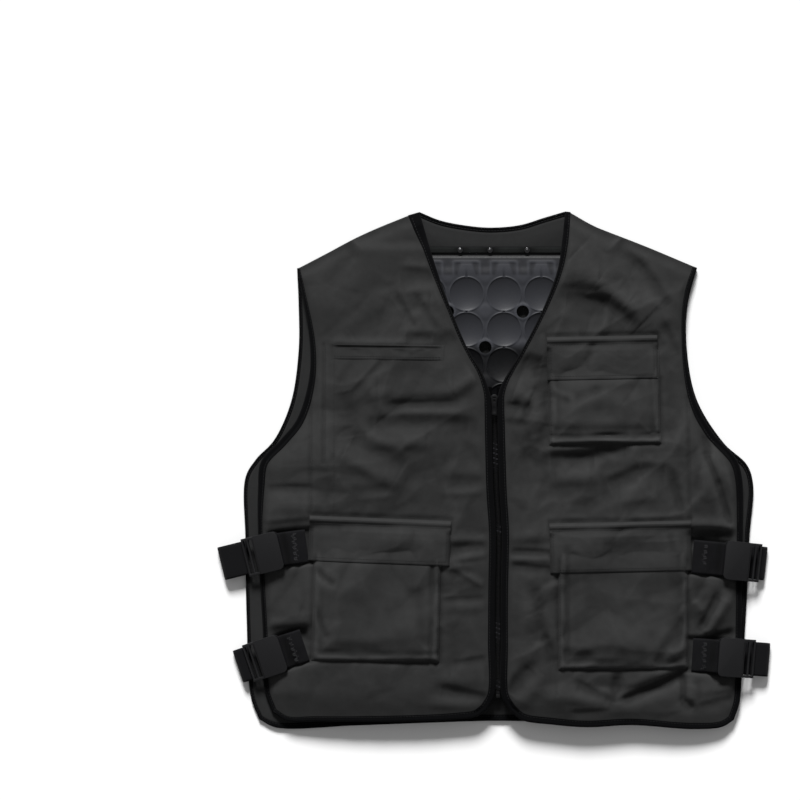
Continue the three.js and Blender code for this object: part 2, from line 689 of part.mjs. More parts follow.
// A pouch: one cloth piece with turned-down sides and bottom, open towards the flap
function pouch(pocket) {
  const cloth = frontSheet[pocket.side].cloth;
  const half = pocket.bodyWidth * halfWidth / 2;
  const drop = pocket.bodyDrop * bodyLength;
  const shift = pocket.bodyShift * halfWidth;
  const columns = 9;
  const rows = 6;
  const pouchPoint = (i, j, wall) => {
    const u = THREE.MathUtils.clamp((i - 1) / (columns - 2), 0, 1);
    const across = (u * 2 - 1) * (half - wall);
    const v = THREE.MathUtils.clamp((j - 1) / (rows - 1), 0, 1);
    const down = drop - wall - v * (drop - wall - mouthDrop);
    const point = pocketPoint(pocket, pocket.bodyTilt, shift + across, down);
    const ground = cloth(point.x, point.y).top;
    const foot = i === 0 || i === columns || j === 0;
    const crown = Math.sin(Math.PI * u) * pocketCrown;
    return raised(point, ground + (foot ? 0 : pocketDepth - wall + crown));
  };
  const body = sheet(columns, rows, (i, j) => pouchPoint(i, j, 0), (i, j) => pouchPoint(i, j, pocketWall));
  return seated(body, [cloth]);
}

// A flap: sewn at its rolled top edge, hanging over the pouch's mouth
function flap(pocket, below) {
  const cloth = frontSheet[pocket.side].cloth;
  const drop = pocket.flapDrop * bodyLength;
  const half = pocket.flapWidth * halfWidth / 2;
  const profile = [
    { down: drop, rise: pocketDepth + flapGap },
    { down: drop * 0.6, rise: pocketDepth + flapGap },
    { down: mouthDrop - flapThickness, rise: pocketDepth + flapThickness },
    { down: creaseDrop, rise: flapRoll * 0.55 },
    { down: rollDrop, rise: flapRoll },
    { down: 0, rise: 0 },
  ];
  const columns = 6;
  const overBag = 3;
  const at = (extra) => (i, j) => {
    const u = i / columns;
    const row = profile[j];
    const point = pocketPoint(pocket, pocket.flapTilt, (u * 2 - 1) * half, row.down);
    const crown = j < overBag ? Math.sin(Math.PI * u) * pocketCrown : 0;
    return raised(point, cloth(point.x, point.y).top + row.rise + crown + extra);
  };
  const body = sheet(columns, profile.length - 1, at(flapThickness), at(0));
  return seated(body, [cloth, below]);
}

for (const pocket of pockets) {
  const body = pouch(pocket);
  add(`${pocket.name}_pocket`, body, "cloth");
  add(`${pocket.name}_flap`, flap(pocket, heightsOf(body)), "cloth");
}

// The welt of the set-in chest pocket: a flat strip sewn over its slit
function chestWelt() {
  const cloth = frontSheet[welt.side].cloth;
  const columns = 8;
  const at = (extra) => (i, j) => {
    const point = pocketPoint(welt, welt.tilt, (i / columns - 0.5) * weltWidth, (0.5 - j) * weltHeight);
    return raised(point, cloth(point.x, point.y).top + extra);
  };
  return seated(sheet(columns, 1, at(pocketWall), at(0)), [cloth]);
}
add("right_chest_welt", chestWelt(), "cloth");

// A buckle's socket: a flat case with a mouth for the prongs and a slot for the webbing
const mouthWidth = webbingWidth * 0.9;
function buckleSocket() {
  const half = buckleWidth / 2 - buckleBevel;
  const outline = new THREE.Shape();
  outline.moveTo(buckleBevel, -half + buckleCorner);
  outline.lineTo(buckleBevel, half - buckleCorner);
  outline.lineTo(buckleBevel + buckleCorner, half);
  outline.lineTo(buckleLength - buckleBevel, half);
  outline.lineTo(buckleLength - buckleBevel, -half);
  outline.lineTo(buckleBevel + buckleCorner, -half);
  const body = new THREE.ExtrudeGeometry(outline, {
    depth: buckleThickness - 2 * buckleBevel,
    bevelThickness: buckleBevel,
    bevelSize: buckleBevel,
    bevelSegments: 1,
  });
  body.translate(0, 0, buckleBevel);
  const middle = buckleThickness / 2;
  const mouth = new THREE.BoxGeometry(prongLength * 2, mouthWidth, prongThickness + 2 * clearance);
  mouth.translate(buckleLength, 0, middle);
  const play = 2 * clearance;
  const slot = new THREE.BoxGeometry(slotDepth * 2, webbingWidth + 2 * play, webbingThickness + 2 * play);
  slot.translate(0, 0, middle);
  const sideWindow = new THREE.BoxGeometry(windowLength, buckleWidth * 2, prongThickness);
  const windowPlace = 0.55;
  sideWindow.translate(buckleLength - prongLength * windowPlace, 0, middle);
  return cut(body, [mouth, slot, sideWindow]);
}

// A buckle's plug: two hooked side prongs on a crossbar, with a ladder for the webbing
function bucklePlug() {
  const half = mouthWidth / 2 - 2 * clearance;
  const shoulder = buckleWidth / 2;
  const play = 2;
  const tip = -prongLength + play;
  const out = clearance + ladderLength;
  // One prong from the crossbar round its hook and back, inwards from the plug's side
  const prong = [
    { along: clearance, inward: 0 },
    { along: tip + prongWidth * 0.6, inward: 0 },
    { along: tip, inward: prongWidth * 0.7 },
    { along: tip + prongWidth * 0.4, inward: prongWidth * 1.3 },
    { along: clearance, inward: prongWidth },
  ];
  const corners = [
    [clearance, -shoulder],
    ...prong.map((row) => [row.along, -half + row.inward]),
    ...prong.slice().reverse().map((row) => [row.along, half - row.inward]),
    [clearance, shoulder],
    [out, shoulder],
    [out, -shoulder],
  ];
  const outline = new THREE.Shape(corners.map(([x, y]) => new THREE.Vector2(x, y)));
  const plug = new THREE.ExtrudeGeometry(outline, { depth: prongThickness, bevelEnabled: false });
  const slotWidth = (ladderLength - 3 * ladderBar) / 2;
  const slots = [0, 1].map((n) => {
    const slot = new THREE.BoxGeometry(slotWidth, webbingWidth + 4 * clearance, prongThickness * 3);
    return slot.translate(clearance + ladderBar + slotWidth / 2 + n * (slotWidth + ladderBar), 0, 0);
  });
  return cut(plug, slots).translate(buckleLength, 0, (buckleThickness - prongThickness) / 2);
}

// The back strap: from under the back panel out to its turn, and up into the plug's ladder.
// Its profile is drawn outwards and upwards and drawn out over the webbing's width
function backStrap(inside, turn, ladder, ladderHeight) {
  const t = webbingThickness;
  const upper = ladderHeight - clearance - t / 2;
  const bend = (upper - t / 2) / 2;
  const middle = bend + t / 2;
  const line = [];
  line.push([inside, t / 2], [turn - bend, t / 2]);
  const bendSteps = 6;
  for (let k = 1; k <= bendSteps; k += 1) {
    const a = -Math.PI / 2 + Math.PI * k / bendSteps;
    line.push([turn - bend + bend * Math.cos(a), middle + bend * Math.sin(a)]);
  }
  line.push([ladder, upper]);
  const points = line.map(([x, y]) => new THREE.Vector3(x, y, 0));
  const widths = points.map(() => t / 2);
  const outside = inset(points, widths, -1);
  const within = inset(points, widths, 1).reverse();
  const shape = new THREE.Shape([...outside, ...within].map((p) => new THREE.Vector2(p.x, p.y)));
  const strap = new THREE.ExtrudeGeometry(shape, { depth: webbingWidth, bevelEnabled: false });
  strap.rotateX(Math.PI / 2);
  strap.translate(0, webbingWidth / 2, 0);
  return strap;
}

// One side strap: a fastened buckle that slopes with the cloth, the webbing from the
// pocket's edge into its slot, and the strap from the back into its ladder
function sideStrap(strap) {
  const { cloth, tape } = frontSheet[strap.side];
  const out = strap.side === "right" ? -1 : 1;
  const from = place({ x: strap.x1, y: strap.y1 });
  const socket = place({ x: strap.x2, y: strap.y2 });
  const turnPoint = place({ x: out * strap.reach, y: strap.turnY });
  const tilt = THREE.MathUtils.degToRad(buckleTilt);
  const turned = Math.atan2(turnPoint.y - socket.y, turnPoint.x - socket.x);

  const buckle = new THREE.Group();
  buckle.position.copy(socket);
  buckle.rotation.set(0, tilt, turned, "ZYX");
  vest.add(buckle);
  const body = add(`${strap.name}_buckle_socket`, buckleSocket(), "plastic", buckle);
  const plug = add(`${strap.name}_buckle_plug`, bucklePlug(), "plastic", buckle);
  buckle.updateMatrixWorld(true);
  const under = [cloth, tape, backSheet.cloth, backSheet.tape];
  buckle.position.z = Math.max(...[body, plug].map((piece) => (
    liftOver(piece.geometry.clone().applyMatrix4(piece.matrixWorld), under)
  )));

  // The webbing lies on the cloth and rises into the slot
  const middle = buckleThickness / 2;
  const slotPlace = (depth) => new THREE.Vector3(
    socket.x + (depth * Math.cos(tilt) + middle * Math.sin(tilt)) * Math.cos(turned),
    socket.y + (depth * Math.cos(tilt) + middle * Math.sin(tilt)) * Math.sin(turned),
    buckle.position.z + middle * Math.cos(tilt) - depth * Math.sin(tilt) - webbingThickness / 2,
  );
  const mouth = slotPlace(-1);
  const inside = slotPlace(slotDepth - 1);
  const lying = 4;
  const along = mouth.clone().sub(from).setZ(0);
  const direction = Math.atan2(along.y, along.x);
  const at = (extra) => (i, j) => {
    const centre = i > lying ? inside : from.clone().addScaledVector(along, i / lying);
    const heading = i >= lying ? turned : direction;
    const side = out * (j - 0.5) * webbingWidth;
    const across = new THREE.Vector3(-Math.sin(heading), Math.cos(heading), 0).multiplyScalar(side);
    const point = centre.clone().add(across);
    if (i >= lying) return raised(point, (i > lying ? inside : mouth).z + extra);
    return raised(point, cloth(point.x, point.y).top + webbingRest + extra);
  };
  add(`${strap.name}_front_strap`, sheet(lying + 1, 1, at(webbingThickness), at(0)), "webbing");

  const plugEnd = buckleLength + clearance + ladderLength;
  const ladderDistance = (plugEnd - ladderBar) * Math.cos(tilt);
  const plugBase = buckle.position.z + (buckleThickness - prongThickness) / 2;
  const ladderHeight = plugBase - plugEnd * Math.sin(tilt);
  const turnDistance = turnPoint.clone().sub(socket).length();
  const backEdge = turnDistance - (strap.reach - 1) * halfWidth;
  const strapGroup = new THREE.Group();
  strapGroup.position.copy(socket);
  strapGroup.rotation.z = turned;
  vest.add(strapGroup);
  const profile = backStrap(backEdge - tuckedLength, turnDistance, ladderDistance, ladderHeight);
  add(`${strap.name}_back_strap`, profile, "webbing", strapGroup);
}
straps.forEach(sideStrap);

// The cooling panel: a welded pad of round dishes with puffed diamonds between them,
// a flat flange round it, and through holes at every other diamond
function coolingPanel() {
  const origin = place(coolingPlace);
  const width = dishColumns * dishPitch;
  const height = dishRows * dishRowPitch;
  const left = origin.x - width / 2;
  const top = origin.y - flangeWidth - channelLength;
  const high = coolingThickness;
  const neckShare = 0.7;
  const neck = coolingThickness * neckShare;
  const sides = 8;
  const rimShare = 0.98;
  const bowlShare = 0.8;
  const points = [];
  const triangles = [];
  const seen = new Map();
  const point = (x, y, z) => {
    const key = [x, y, z].map((n) => Math.round(n * 1000)).join(",");
    if (!seen.has(key)) {
      seen.set(key, points.length);
      points.push(new THREE.Vector3(x, y, z));
    }
    return seen.get(key);
  };
  const face = (a, b, c) => triangles.push(a, b, c);
  const radius = dishDiameter / 2;
  for (let row = 0; row < dishRows; row += 1) {
    for (let column = 0; column < dishColumns; column += 1) {
      const cx = left + (column + 0.5) * dishPitch;
      const cy = top - (row + 0.5) * dishRowPitch;
      const rings = [[], [], []];
      for (let k = 0; k < sides; k += 1) {
        const a = Math.PI * 2 / sides * k;
        const [c, s] = [Math.cos(a), Math.sin(a)];
        const far = Math.max(Math.abs(c), Math.abs(s));
        const [wide, tall] = [dishPitch / 2 * c / far, dishRowPitch / 2 * s / far];
        rings[0].push(point(cx + wide, cy + tall, k % 2 ? high : neck));
        rings[1].push(point(cx + radius * rimShare * c, cy + radius * rimShare * s, neck));
        const bowl = radius * bowlShare;
        rings[2].push(point(cx + bowl * c, cy + bowl * s, high - dishDepth));
      }
      for (let k = 0; k < sides; k += 1) {
        const n = (k + 1) % sides;
        for (const r of [0, 1]) {
          face(rings[r][k], rings[r][n], rings[r + 1][n]);
          face(rings[r][k], rings[r + 1][n], rings[r + 1][k]);
        }
        if (k > 0 && n > 0) face(rings[2][0], rings[2][k], rings[2][n]);
      }
    }
  }
  const rim = [];
  const [half, halfRow] = [dishPitch / 2, dishRowPitch / 2];
  const lift = (k) => (k % 2 ? neck : high);
  const right = left + width;
  const bottom = top - height;
  for (let k = 0; k < dishColumns * 2; k += 1) rim.push([left + k * half, bottom, lift(k), 0, -1]);
  for (let k = 0; k < dishRows * 2; k += 1) rim.push([right, bottom + k * halfRow, lift(k), 1, 0]);
  for (let k = 0; k < dishColumns * 2; k += 1) rim.push([right - k * half, top, lift(k), 0, 1]);
  for (let k = 0; k < dishRows * 2; k += 1) rim.push([left, top - k * halfRow, lift(k), -1, 0]);
  const near = 1e-6;
  const outAt = (x, y, flat) => {
    const reach = flangeSlope + flat;
    return [
      x + (x <= left + near ? -reach : 0) + (x >= right - near ? reach : 0),
      y + (y <= bottom + near ? -reach : 0) + (y >= top - near ? channelLength + flat : 0),
    ];
  };
  const rings = [
    rim.map(([x, y, z]) => point(x, y, z)),
    rim.map(([x, y]) => point(...outAt(x, y, 0), flangeThickness)),
    rim.map(([x, y]) => point(...outAt(x, y, flangeWidth), flangeThickness)),
    rim.map(([x, y]) => point(...outAt(x, y, flangeWidth), 0)),
  ];
  for (let r = 0; r < rings.length - 1; r += 1) {
    rings[r].forEach((a, k) => {
      const n = (k + 1) % rim.length;
      face(a, rings[r + 1][k], rings[r + 1][n]);
      face(a, rings[r + 1][n], rings[r][n]);
    });
  }
  const base = rings[3].map((k) => new THREE.Vector2(points[k].x, points[k].y));
  for (const [a, b, c] of THREE.ShapeUtils.triangulateShape(base, [])) {
    face(rings[3][a], rings[3][c], rings[3][b]);
  }
  const holes = [];
  for (let row = 1; row < dishRows; row += 1) {
    for (let column = 1; column < dishColumns; column += 1) {
      if ((row + column) % 2 === 0) continue;
      const deep = coolingThickness * 4;
      const hole = new THREE.CylinderGeometry(holeDiameter / 2, holeDiameter / 2, deep, sides);
      hole.rotateX(Math.PI / 2);
      hole.translate(left + column * dishPitch, top - row * dishRowPitch, 0);
      holes.push(hole);
    }
  }
  const pad = seated(cut(meshFrom(points, triangles), holes), [backSheet.cloth]);
  add("cooling_panel", pad, "cooling");

  // The strip that hangs the pad on the back panel, with its press studs
  const stripShare = 0.72;
  const strip = new THREE.BoxGeometry(width * stripShare, hangerHeight, hangerThickness);
  const stripY = origin.y - hangerHeight / 2;
  seated(strip.translate(origin.x, stripY, 0), [heightsOf(pad)]);
  add("hanger_strip", strip, "binding");
  studPlaces.forEach((x, k) => {
    const studSides = 10;
    const radius = studDiameter / 2;
    const stud = new THREE.CylinderGeometry(radius * 0.76, radius, studThickness, studSides);
    stud.rotateX(Math.PI / 2);
    seated(stud.translate(x * halfWidth, stripY, 0), [heightsOf(strip)]);
    add(`press_stud_${k + 1}`, stud, "steel");
  });
}
coolingPanel();

export default vest;
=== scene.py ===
# %% [markdown]
# # A cooling vest, laid flat
# The vest is a dark grey work vest with a zip, patch pockets, side straps and a cooling panel
# inside its back. It lies on its back and the camera looks straight down on it. The CAD model
# gives every piece its place and size, and this file rebuilds each piece with the finer shape
# and finish that the real one has.
#
# The camera comes first. A long lens far away keeps the vest's outline free of perspective, as
# in a product picture, so lengths can be compared all over the frame.
# %% The frame and the camera
import json
import math
import bmesh
import bpy
import numpy as np
from mathutils import Matrix, Vector
from mathutils.bvhtree import BVHTree

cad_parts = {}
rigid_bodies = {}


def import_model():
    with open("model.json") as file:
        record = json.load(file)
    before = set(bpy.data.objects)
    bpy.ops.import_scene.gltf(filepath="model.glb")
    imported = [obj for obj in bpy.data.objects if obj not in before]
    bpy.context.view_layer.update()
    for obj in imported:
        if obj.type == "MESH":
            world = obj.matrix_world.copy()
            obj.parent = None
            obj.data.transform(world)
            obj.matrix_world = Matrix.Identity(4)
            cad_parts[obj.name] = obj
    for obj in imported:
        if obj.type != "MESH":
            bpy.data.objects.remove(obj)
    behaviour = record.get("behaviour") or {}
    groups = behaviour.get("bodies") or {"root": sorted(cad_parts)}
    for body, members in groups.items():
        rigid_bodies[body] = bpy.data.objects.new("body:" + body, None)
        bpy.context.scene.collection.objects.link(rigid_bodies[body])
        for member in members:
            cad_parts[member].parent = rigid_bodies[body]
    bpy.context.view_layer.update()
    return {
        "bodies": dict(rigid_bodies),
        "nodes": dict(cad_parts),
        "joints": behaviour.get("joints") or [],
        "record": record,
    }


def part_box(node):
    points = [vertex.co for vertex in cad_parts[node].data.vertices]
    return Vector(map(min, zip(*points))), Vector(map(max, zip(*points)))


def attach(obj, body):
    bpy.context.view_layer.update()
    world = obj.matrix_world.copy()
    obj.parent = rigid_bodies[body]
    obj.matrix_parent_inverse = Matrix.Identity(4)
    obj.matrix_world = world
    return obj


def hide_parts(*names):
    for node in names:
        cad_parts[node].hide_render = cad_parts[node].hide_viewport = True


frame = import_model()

scene = bpy.context.scene
MM = 0.001

PICTURE_WIDTH = 0.960
PICTURE_CENTRE = (-0.114, 0.0834)
CAMERA_HEIGHT = 6.0
SENSOR_WIDTH = 36.0

camera_data = bpy.data.cameras.new("camera")
camera_data.sensor_width = SENSOR_WIDTH
camera_data.lens = SENSOR_WIDTH * CAMERA_HEIGHT / PICTURE_WIDTH
camera = bpy.data.objects.new("camera", camera_data)
camera.location = (*PICTURE_CENTRE, CAMERA_HEIGHT)
scene.collection.objects.link(camera)
scene.camera = camera

# %% [markdown]
# ## Light and floor
# A dark cloth shows its folds only when the light grazes it. One broad, soft light comes low
# from the neck's side, so each fold is bright above and dark below, and a pale sky fills the
# shadows. The floor is a plain white table.
# %% Light and floor
KEY_ELEVATION = 33
KEY_TURN = 6
KEY_SPREAD = 18
KEY_STRENGTH = 5.2
SKY_STRENGTH = 0.24

key_data = bpy.data.lights.new("key_light", "SUN")
key_data.energy = KEY_STRENGTH
key_data.angle = math.radians(KEY_SPREAD)
key = bpy.data.objects.new("key_light", key_data)
key.rotation_euler = (-math.radians(90 - KEY_ELEVATION), 0, math.radians(KEY_TURN))
scene.collection.objects.link(key)

sky = bpy.data.worlds.new("sky")
sky.use_nodes = True
background = sky.node_tree.nodes["Background"]
background.inputs["Color"].default_value = (1, 1, 1, 1)
background.inputs["Strength"].default_value = SKY_STRENGTH
scene.world = sky
scene.view_settings.view_transform = "Standard"

FLOOR_SIZE = 12
FLOOR_DROP = 0.3 * MM
floor_mesh = bpy.data.meshes.new("floor")
corners = [(x * FLOOR_SIZE / 2, y * FLOOR_SIZE / 2, -FLOOR_DROP)
           for x, y in ((-1, -1), (1, -1), (1, 1), (-1, 1))]
floor_mesh.from_pydata(corners, [], [range(4)])
floor = bpy.data.objects.new("floor", floor_mesh)
scene.collection.objects.link(floor)
print("key light", KEY_ELEVATION, "degrees above the table")

# %% [markdown]
# ## Small tools for materials
# A material is a graph of nodes. This helper places one node, sets its options and fills its
# inputs with numbers or with links, so that a material reads as a short list.
# %% Node helper
def set_inputs(tree, target, inputs):
    """Numbers go into a node's sockets as they are; the outputs of other nodes are linked."""
    for socket_name, value in inputs.items():
        socket = target.inputs[socket_name]
        if isinstance(value, bpy.types.NodeSocket):
            tree.links.new(value, socket)
        else:
            socket.default_value = value


def node(tree, kind, inputs=None, **settings):
    made = tree.nodes.new("ShaderNode" + kind)
    for setting, value in settings.items():
        setattr(made, setting, value)
    set_inputs(tree, made, inputs or {})
    return made


def calc(tree, operation, a, b=0.0, c=0.0):
    """One step of arithmetic on numbers or links."""
    return node(tree, "Math", {0: a, 1: b, 2: c}, operation=operation).outputs[0]


def node_group(name, inputs, outputs):
    """An empty group with named inputs (name, kind, value) and outputs (name, kind)."""
    group = bpy.data.node_groups.new(name, "ShaderNodeTree")
    for label, kind, value in inputs:
        socket = group.interface.new_socket(label, in_out="INPUT", socket_type=kind)
        if value is not None:
            socket.default_value = value
    for label, kind in outputs:
        group.interface.new_socket(label, in_out="OUTPUT", socket_type=kind)
    return group, group.nodes.new("NodeGroupInput"), group.nodes.new("NodeGroupOutput")


FLOAT, VECTOR, COLOR = "NodeSocketFloat", "NodeSocketVector", "NodeSocketColor"

# %% [markdown]
# ## Plain weave
# Woven cloth is a checkerboard of threads: in one square the lengthwise thread lies on top, in
# the next the crosswise one. An image could show it, but a formula stays sharp at any distance.
# The group takes a place on the cloth and a thread pitch, and gives the threads' height.
# %% Group: weave
def make_weave():
    group, given, result = node_group(
        "woven_threads",
        [("Vector", VECTOR, None), ("Pitch", FLOAT, 0.0007), ("Stretch", FLOAT, 1.0)],
        [("Height", FLOAT), ("Gap", FLOAT)],
    )
    parts = node(group, "SeparateXYZ", {0: given.outputs["Vector"]})
    across = calc(group, "DIVIDE", parts.outputs["X"], given.outputs["Pitch"])
    tall = calc(group, "MULTIPLY", given.outputs["Pitch"], given.outputs["Stretch"])
    along = calc(group, "DIVIDE", parts.outputs["Y"], tall)
    warp = calc(group, "ABSOLUTE", calc(group, "SINE", calc(group, "MULTIPLY", across, math.pi)))
    weft = calc(group, "ABSOLUTE", calc(group, "SINE", calc(group, "MULTIPLY", along, math.pi)))
    cells = calc(group, "ADD", calc(group, "FLOOR", across), calc(group, "FLOOR", along))
    over = calc(group, "PINGPONG", cells, 1.0)
    top = node(group, "Mix", {"Factor": over, "A": warp, "B": weft}).outputs[0]
    gap = calc(group, "SUBTRACT", 1.0, calc(group, "MAXIMUM", warp, weft))
    group.links.new(top, result.inputs["Height"])
    group.links.new(gap, result.inputs["Gap"])
    return group


woven_threads = make_weave()
print("group", woven_threads.name)

# %% [markdown]
# ## Uneven dye, rubbed ridges and painted shade
# Cloth never has one tone. The dye takes unevenly, raised ridges rub paler, and creases are
# painted darker as painted shade. Two layers of noise give the uneven dye, and a number kept at
# each mesh point, called raised, tells this group which places stand proud. On some pieces that
# number also carries painted shadow and painted highlights.
# %% Group: rubbed ridges and painted light
def make_rub_and_painted_light_tone():
    group, given, result = node_group(
        "rub_and_painted_light_tone",
        [("Color", COLOR, (0.1, 0.1, 0.1, 1)), ("Vector", VECTOR, None),
         ("Patch size", FLOAT, 0.032), ("Uneven", FLOAT, 0.2), ("Raised", FLOAT, 0.0),
         ("Rub_and_painted_light", FLOAT, 0.2)],
        [("Color", COLOR), ("Tone", FLOAT)],
    )
    spot = given.outputs["Vector"]
    scale = calc(group, "DIVIDE", 1.0, given.outputs["Patch size"])
    broad = node(group, "TexNoise", {"Vector": spot, "Scale": scale, "Detail": 3.0})
    fine_scale = calc(group, "MULTIPLY", scale, 5.0)
    fine = node(group, "TexNoise", {"Vector": spot, "Scale": fine_scale, "Detail": 4.0})
    half_broad = calc(group, "MULTIPLY", broad.outputs[0], 0.5)
    mix = calc(group, "MULTIPLY_ADD", fine.outputs[0], 0.5, half_broad)
    uneven = calc(group, "MULTIPLY", calc(group, "SUBTRACT", mix, 0.5), given.outputs["Uneven"])
    shift_with_painted_light = calc(group, "MULTIPLY", given.outputs["Raised"], given.outputs["Rub_and_painted_light"])
    tone = calc(group, "ADD", calc(group, "ADD", uneven, shift_with_painted_light), 1.0)
    shade = node(group, "VectorMath", {0: given.outputs["Color"], "Scale": tone}, operation="SCALE")
    group.links.new(shade.outputs[0], result.inputs["Color"])
    group.links.new(tone, result.inputs["Tone"])
    return group


rub_and_painted_light_tone = make_rub_and_painted_light_tone()
print("group", rub_and_painted_light_tone.name)

# %% [markdown]
# ## Cloth and tape finishes
# The shell is a dense dark twill, the edge tape a finer and blacker weave, the straps a thick
# ribbed webbing. They share one recipe with different numbers: tone from the group of rubbed
# ridges and painted light, relief from the weave group, and a little sheen because fibres stand
# off the surface.
# %% Cloth finishes
GAP_SHADE = -0.35
FUZZ_SIZE = 2.2 * MM


def new_material(name):
    """A material, its tree of nodes and the shader that ends it."""
    material = bpy.data.materials.new(name)
    material.use_nodes = True
    return material, material.node_tree, material.node_tree.nodes["Principled BSDF"]


def cloth_finish(name, color, pitch, stretch=1.0, relief=0.2, uneven=0.3, rub_and_painted_light=0.25,
                 roughness=0.85, sheen=0.03, specular=0.1):
    material, tree, shader = new_material(name)
    spot = node(tree, "UVMap", uv_map="cloth").outputs[0]
    raised = node(tree, "Attribute", attribute_name="raised").outputs["Fac"]
    tone = node(tree, "Group", {"Color": (*color, 1), "Vector": spot, "Raised": raised,
                                "Uneven": uneven, "Rub_and_painted_light": rub_and_painted_light}, node_tree=rub_and_painted_light_tone)
    weave = node(tree, "Group", {"Vector": spot, "Pitch": pitch, "Stretch": stretch},
                 node_tree=woven_threads)
    gaps = calc(tree, "MULTIPLY_ADD", weave.outputs["Gap"], GAP_SHADE, 1.0)
    shaded = node(tree, "VectorMath", {0: tone.outputs["Color"], "Scale": gaps}, operation="SCALE")
    fuzz = node(tree, "TexNoise", {"Vector": spot, "Scale": 1 / FUZZ_SIZE, "Detail": 3.0})
    height = calc(tree, "MULTIPLY_ADD", fuzz.outputs[0], 0.8, weave.outputs["Height"])
    bump = node(tree, "Bump", {"Height": height, "Distance": relief * MM, "Strength": 0.6})
    dull = calc(tree, "MULTIPLY_ADD", fuzz.outputs[0], 0.12, roughness - 0.06)
    set_inputs(tree, shader, {
        "Base Color": shaded.outputs[0], "Roughness": dull, "Normal": bump.outputs[0],
        "Sheen Weight": sheen, "Sheen Roughness": 0.5, "Specular IOR Level": specular})
    return material


shell_cloth = cloth_finish("shell_cloth", (0.0255, 0.0257, 0.0257), 0.75 * MM, uneven=0.5)
lining_cloth = cloth_finish("lining_cloth", (0.0225, 0.0228, 0.023), 0.6 * MM, uneven=0.5, rub_and_painted_light=0.1)
edge_tape = cloth_finish("edge_tape", (0.0028, 0.0029, 0.0033), 0.55 * MM, stretch=2.2,
                         sheen=0.015, specular=0.03)
hanger_ribbon = cloth_finish("hanger_ribbon", (0.0095, 0.0105, 0.0102), 0.55 * MM,
                             uneven=0.9, rub_and_painted_light=0.3)
zip_cloth = cloth_finish("zip_cloth", (0.0014, 0.0014, 0.0016), 0.5 * MM, stretch=1.6,
                         sheen=0.005, specular=0.02)
strap_webbing = cloth_finish("strap_webbing", (0.0048, 0.0048, 0.0057), 1.5 * MM, stretch=0.8,
                             relief=0.5, specular=0.08, roughness=0.75)
print("cloth finishes made")

# %% [markdown]
# ## Hard finishes
# Buckles are moulded plastic with a fine sparked grain. The slider, pull and studs are metal
# with a dark lacquer. The cooling panel is a soft welded film with a slight gloss, so its dishes
# catch the light at their lower rims.
# %% Hard finishes
def moulded_finish(name, color, roughness, grain, grain_size, metallic=0.0, coat=0.0,
                    uneven=0.25, rub_and_painted_light=0.2, specular=0.5):
    """A hard finish; grain is its depth and grain_size its width, in millimetres."""
    material, tree, shader = new_material(name)
    spot = node(tree, "TexCoord").outputs["Object"]
    raised = node(tree, "Attribute", attribute_name="raised").outputs["Fac"]
    tone = node(tree, "Group", {"Color": (*color, 1), "Vector": spot, "Raised": raised,
                                "Patch size": 0.012, "Uneven": uneven, "Rub_and_painted_light": rub_and_painted_light},
                node_tree=rub_and_painted_light_tone)
    noise = node(tree, "TexNoise", {"Vector": spot, "Scale": 1 / (grain_size * MM), "Detail": 3.0})
    bump = node(tree, "Bump", {"Height": noise.outputs[0], "Distance": grain * MM, "Strength": 0.5})
    dull = calc(tree, "MULTIPLY_ADD", noise.outputs[0], 0.2, roughness - 0.1)
    set_inputs(tree, shader, {
        "Base Color": tone.outputs["Color"], "Roughness": dull, "Normal": bump.outputs[0],
        "Metallic": metallic, "Coat Weight": coat, "Coat Roughness": 0.3,
        "Specular IOR Level": specular})
    return material


buckle_plastic = moulded_finish("buckle_plastic", (0.006, 0.006, 0.0068), 0.5, 0.05, 0.9,
                                specular=0.28)
teeth_plastic = moulded_finish("teeth_plastic", (0.0022, 0.0022, 0.0025), 0.34, 0.03, 0.8,
                               rub_and_painted_light=2.0, specular=0.25)
dark_metal = moulded_finish("dark_metal", (0.006, 0.006, 0.0065), 0.4, 0.02, 1.2,
                            metallic=0.3, rub_and_painted_light=1.6, specular=0.25)
stud_metal = moulded_finish("stud_metal", (0.085, 0.085, 0.088), 0.26, 0.02, 1.0,
                            metallic=1.0, rub_and_painted_light=0.4)
cooling_film = moulded_finish("cooling_film", (0.026, 0.027, 0.0315), 0.5, 0.12, 2.5,
                              coat=0.03, rub_and_painted_light=0.35, specular=0.16)
sewing_thread = moulded_finish("sewing_thread", (0.016, 0.016, 0.0165), 0.7, 0.05, 0.5,
                               specular=0.15)
bar_thread = moulded_finish("bar_thread", (0.05, 0.05, 0.053), 0.7, 0.05, 0.5, specular=0.2)
table_white = moulded_finish("table_white", (0.92, 0.92, 0.92), 0.8, 0.02, 4,
                             uneven=0.004, rub_and_painted_light=0.0)
floor.data.materials.append(table_white)
print("hard finishes made")

# %% [markdown]
# ## Outlines as smooth lines
# A pattern maker draws an edge through a few marked points. The same is done here: each table
# holds a few points, in shares of the vest's half width and length, and a centripetal
# Catmull-Rom line runs through them without loops or overshoot.
# %% Smooth lines
HALF_WIDTH = 304 * MM
LENGTH = 620 * MM


def place(rows):
    """Shares across and up, turned into metres."""
    rows = np.array(rows, dtype=float)
    return np.stack([rows[..., 0] * HALF_WIDTH, (rows[..., 1] - 0.5) * LENGTH], axis=-1)


def run_along(points):
    """How far along its line each point lies."""
    return np.concatenate([[0], np.cumsum(np.linalg.norm(np.diff(points, axis=0), axis=1))])


def spaced(points, steps):
    """Points at even distances along a polyline."""
    run = run_along(points)
    at = np.linspace(0, run[-1], steps + 1)
    return np.stack([np.interp(at, run, points[:, k]) for k in range(points.shape[1])], axis=-1)


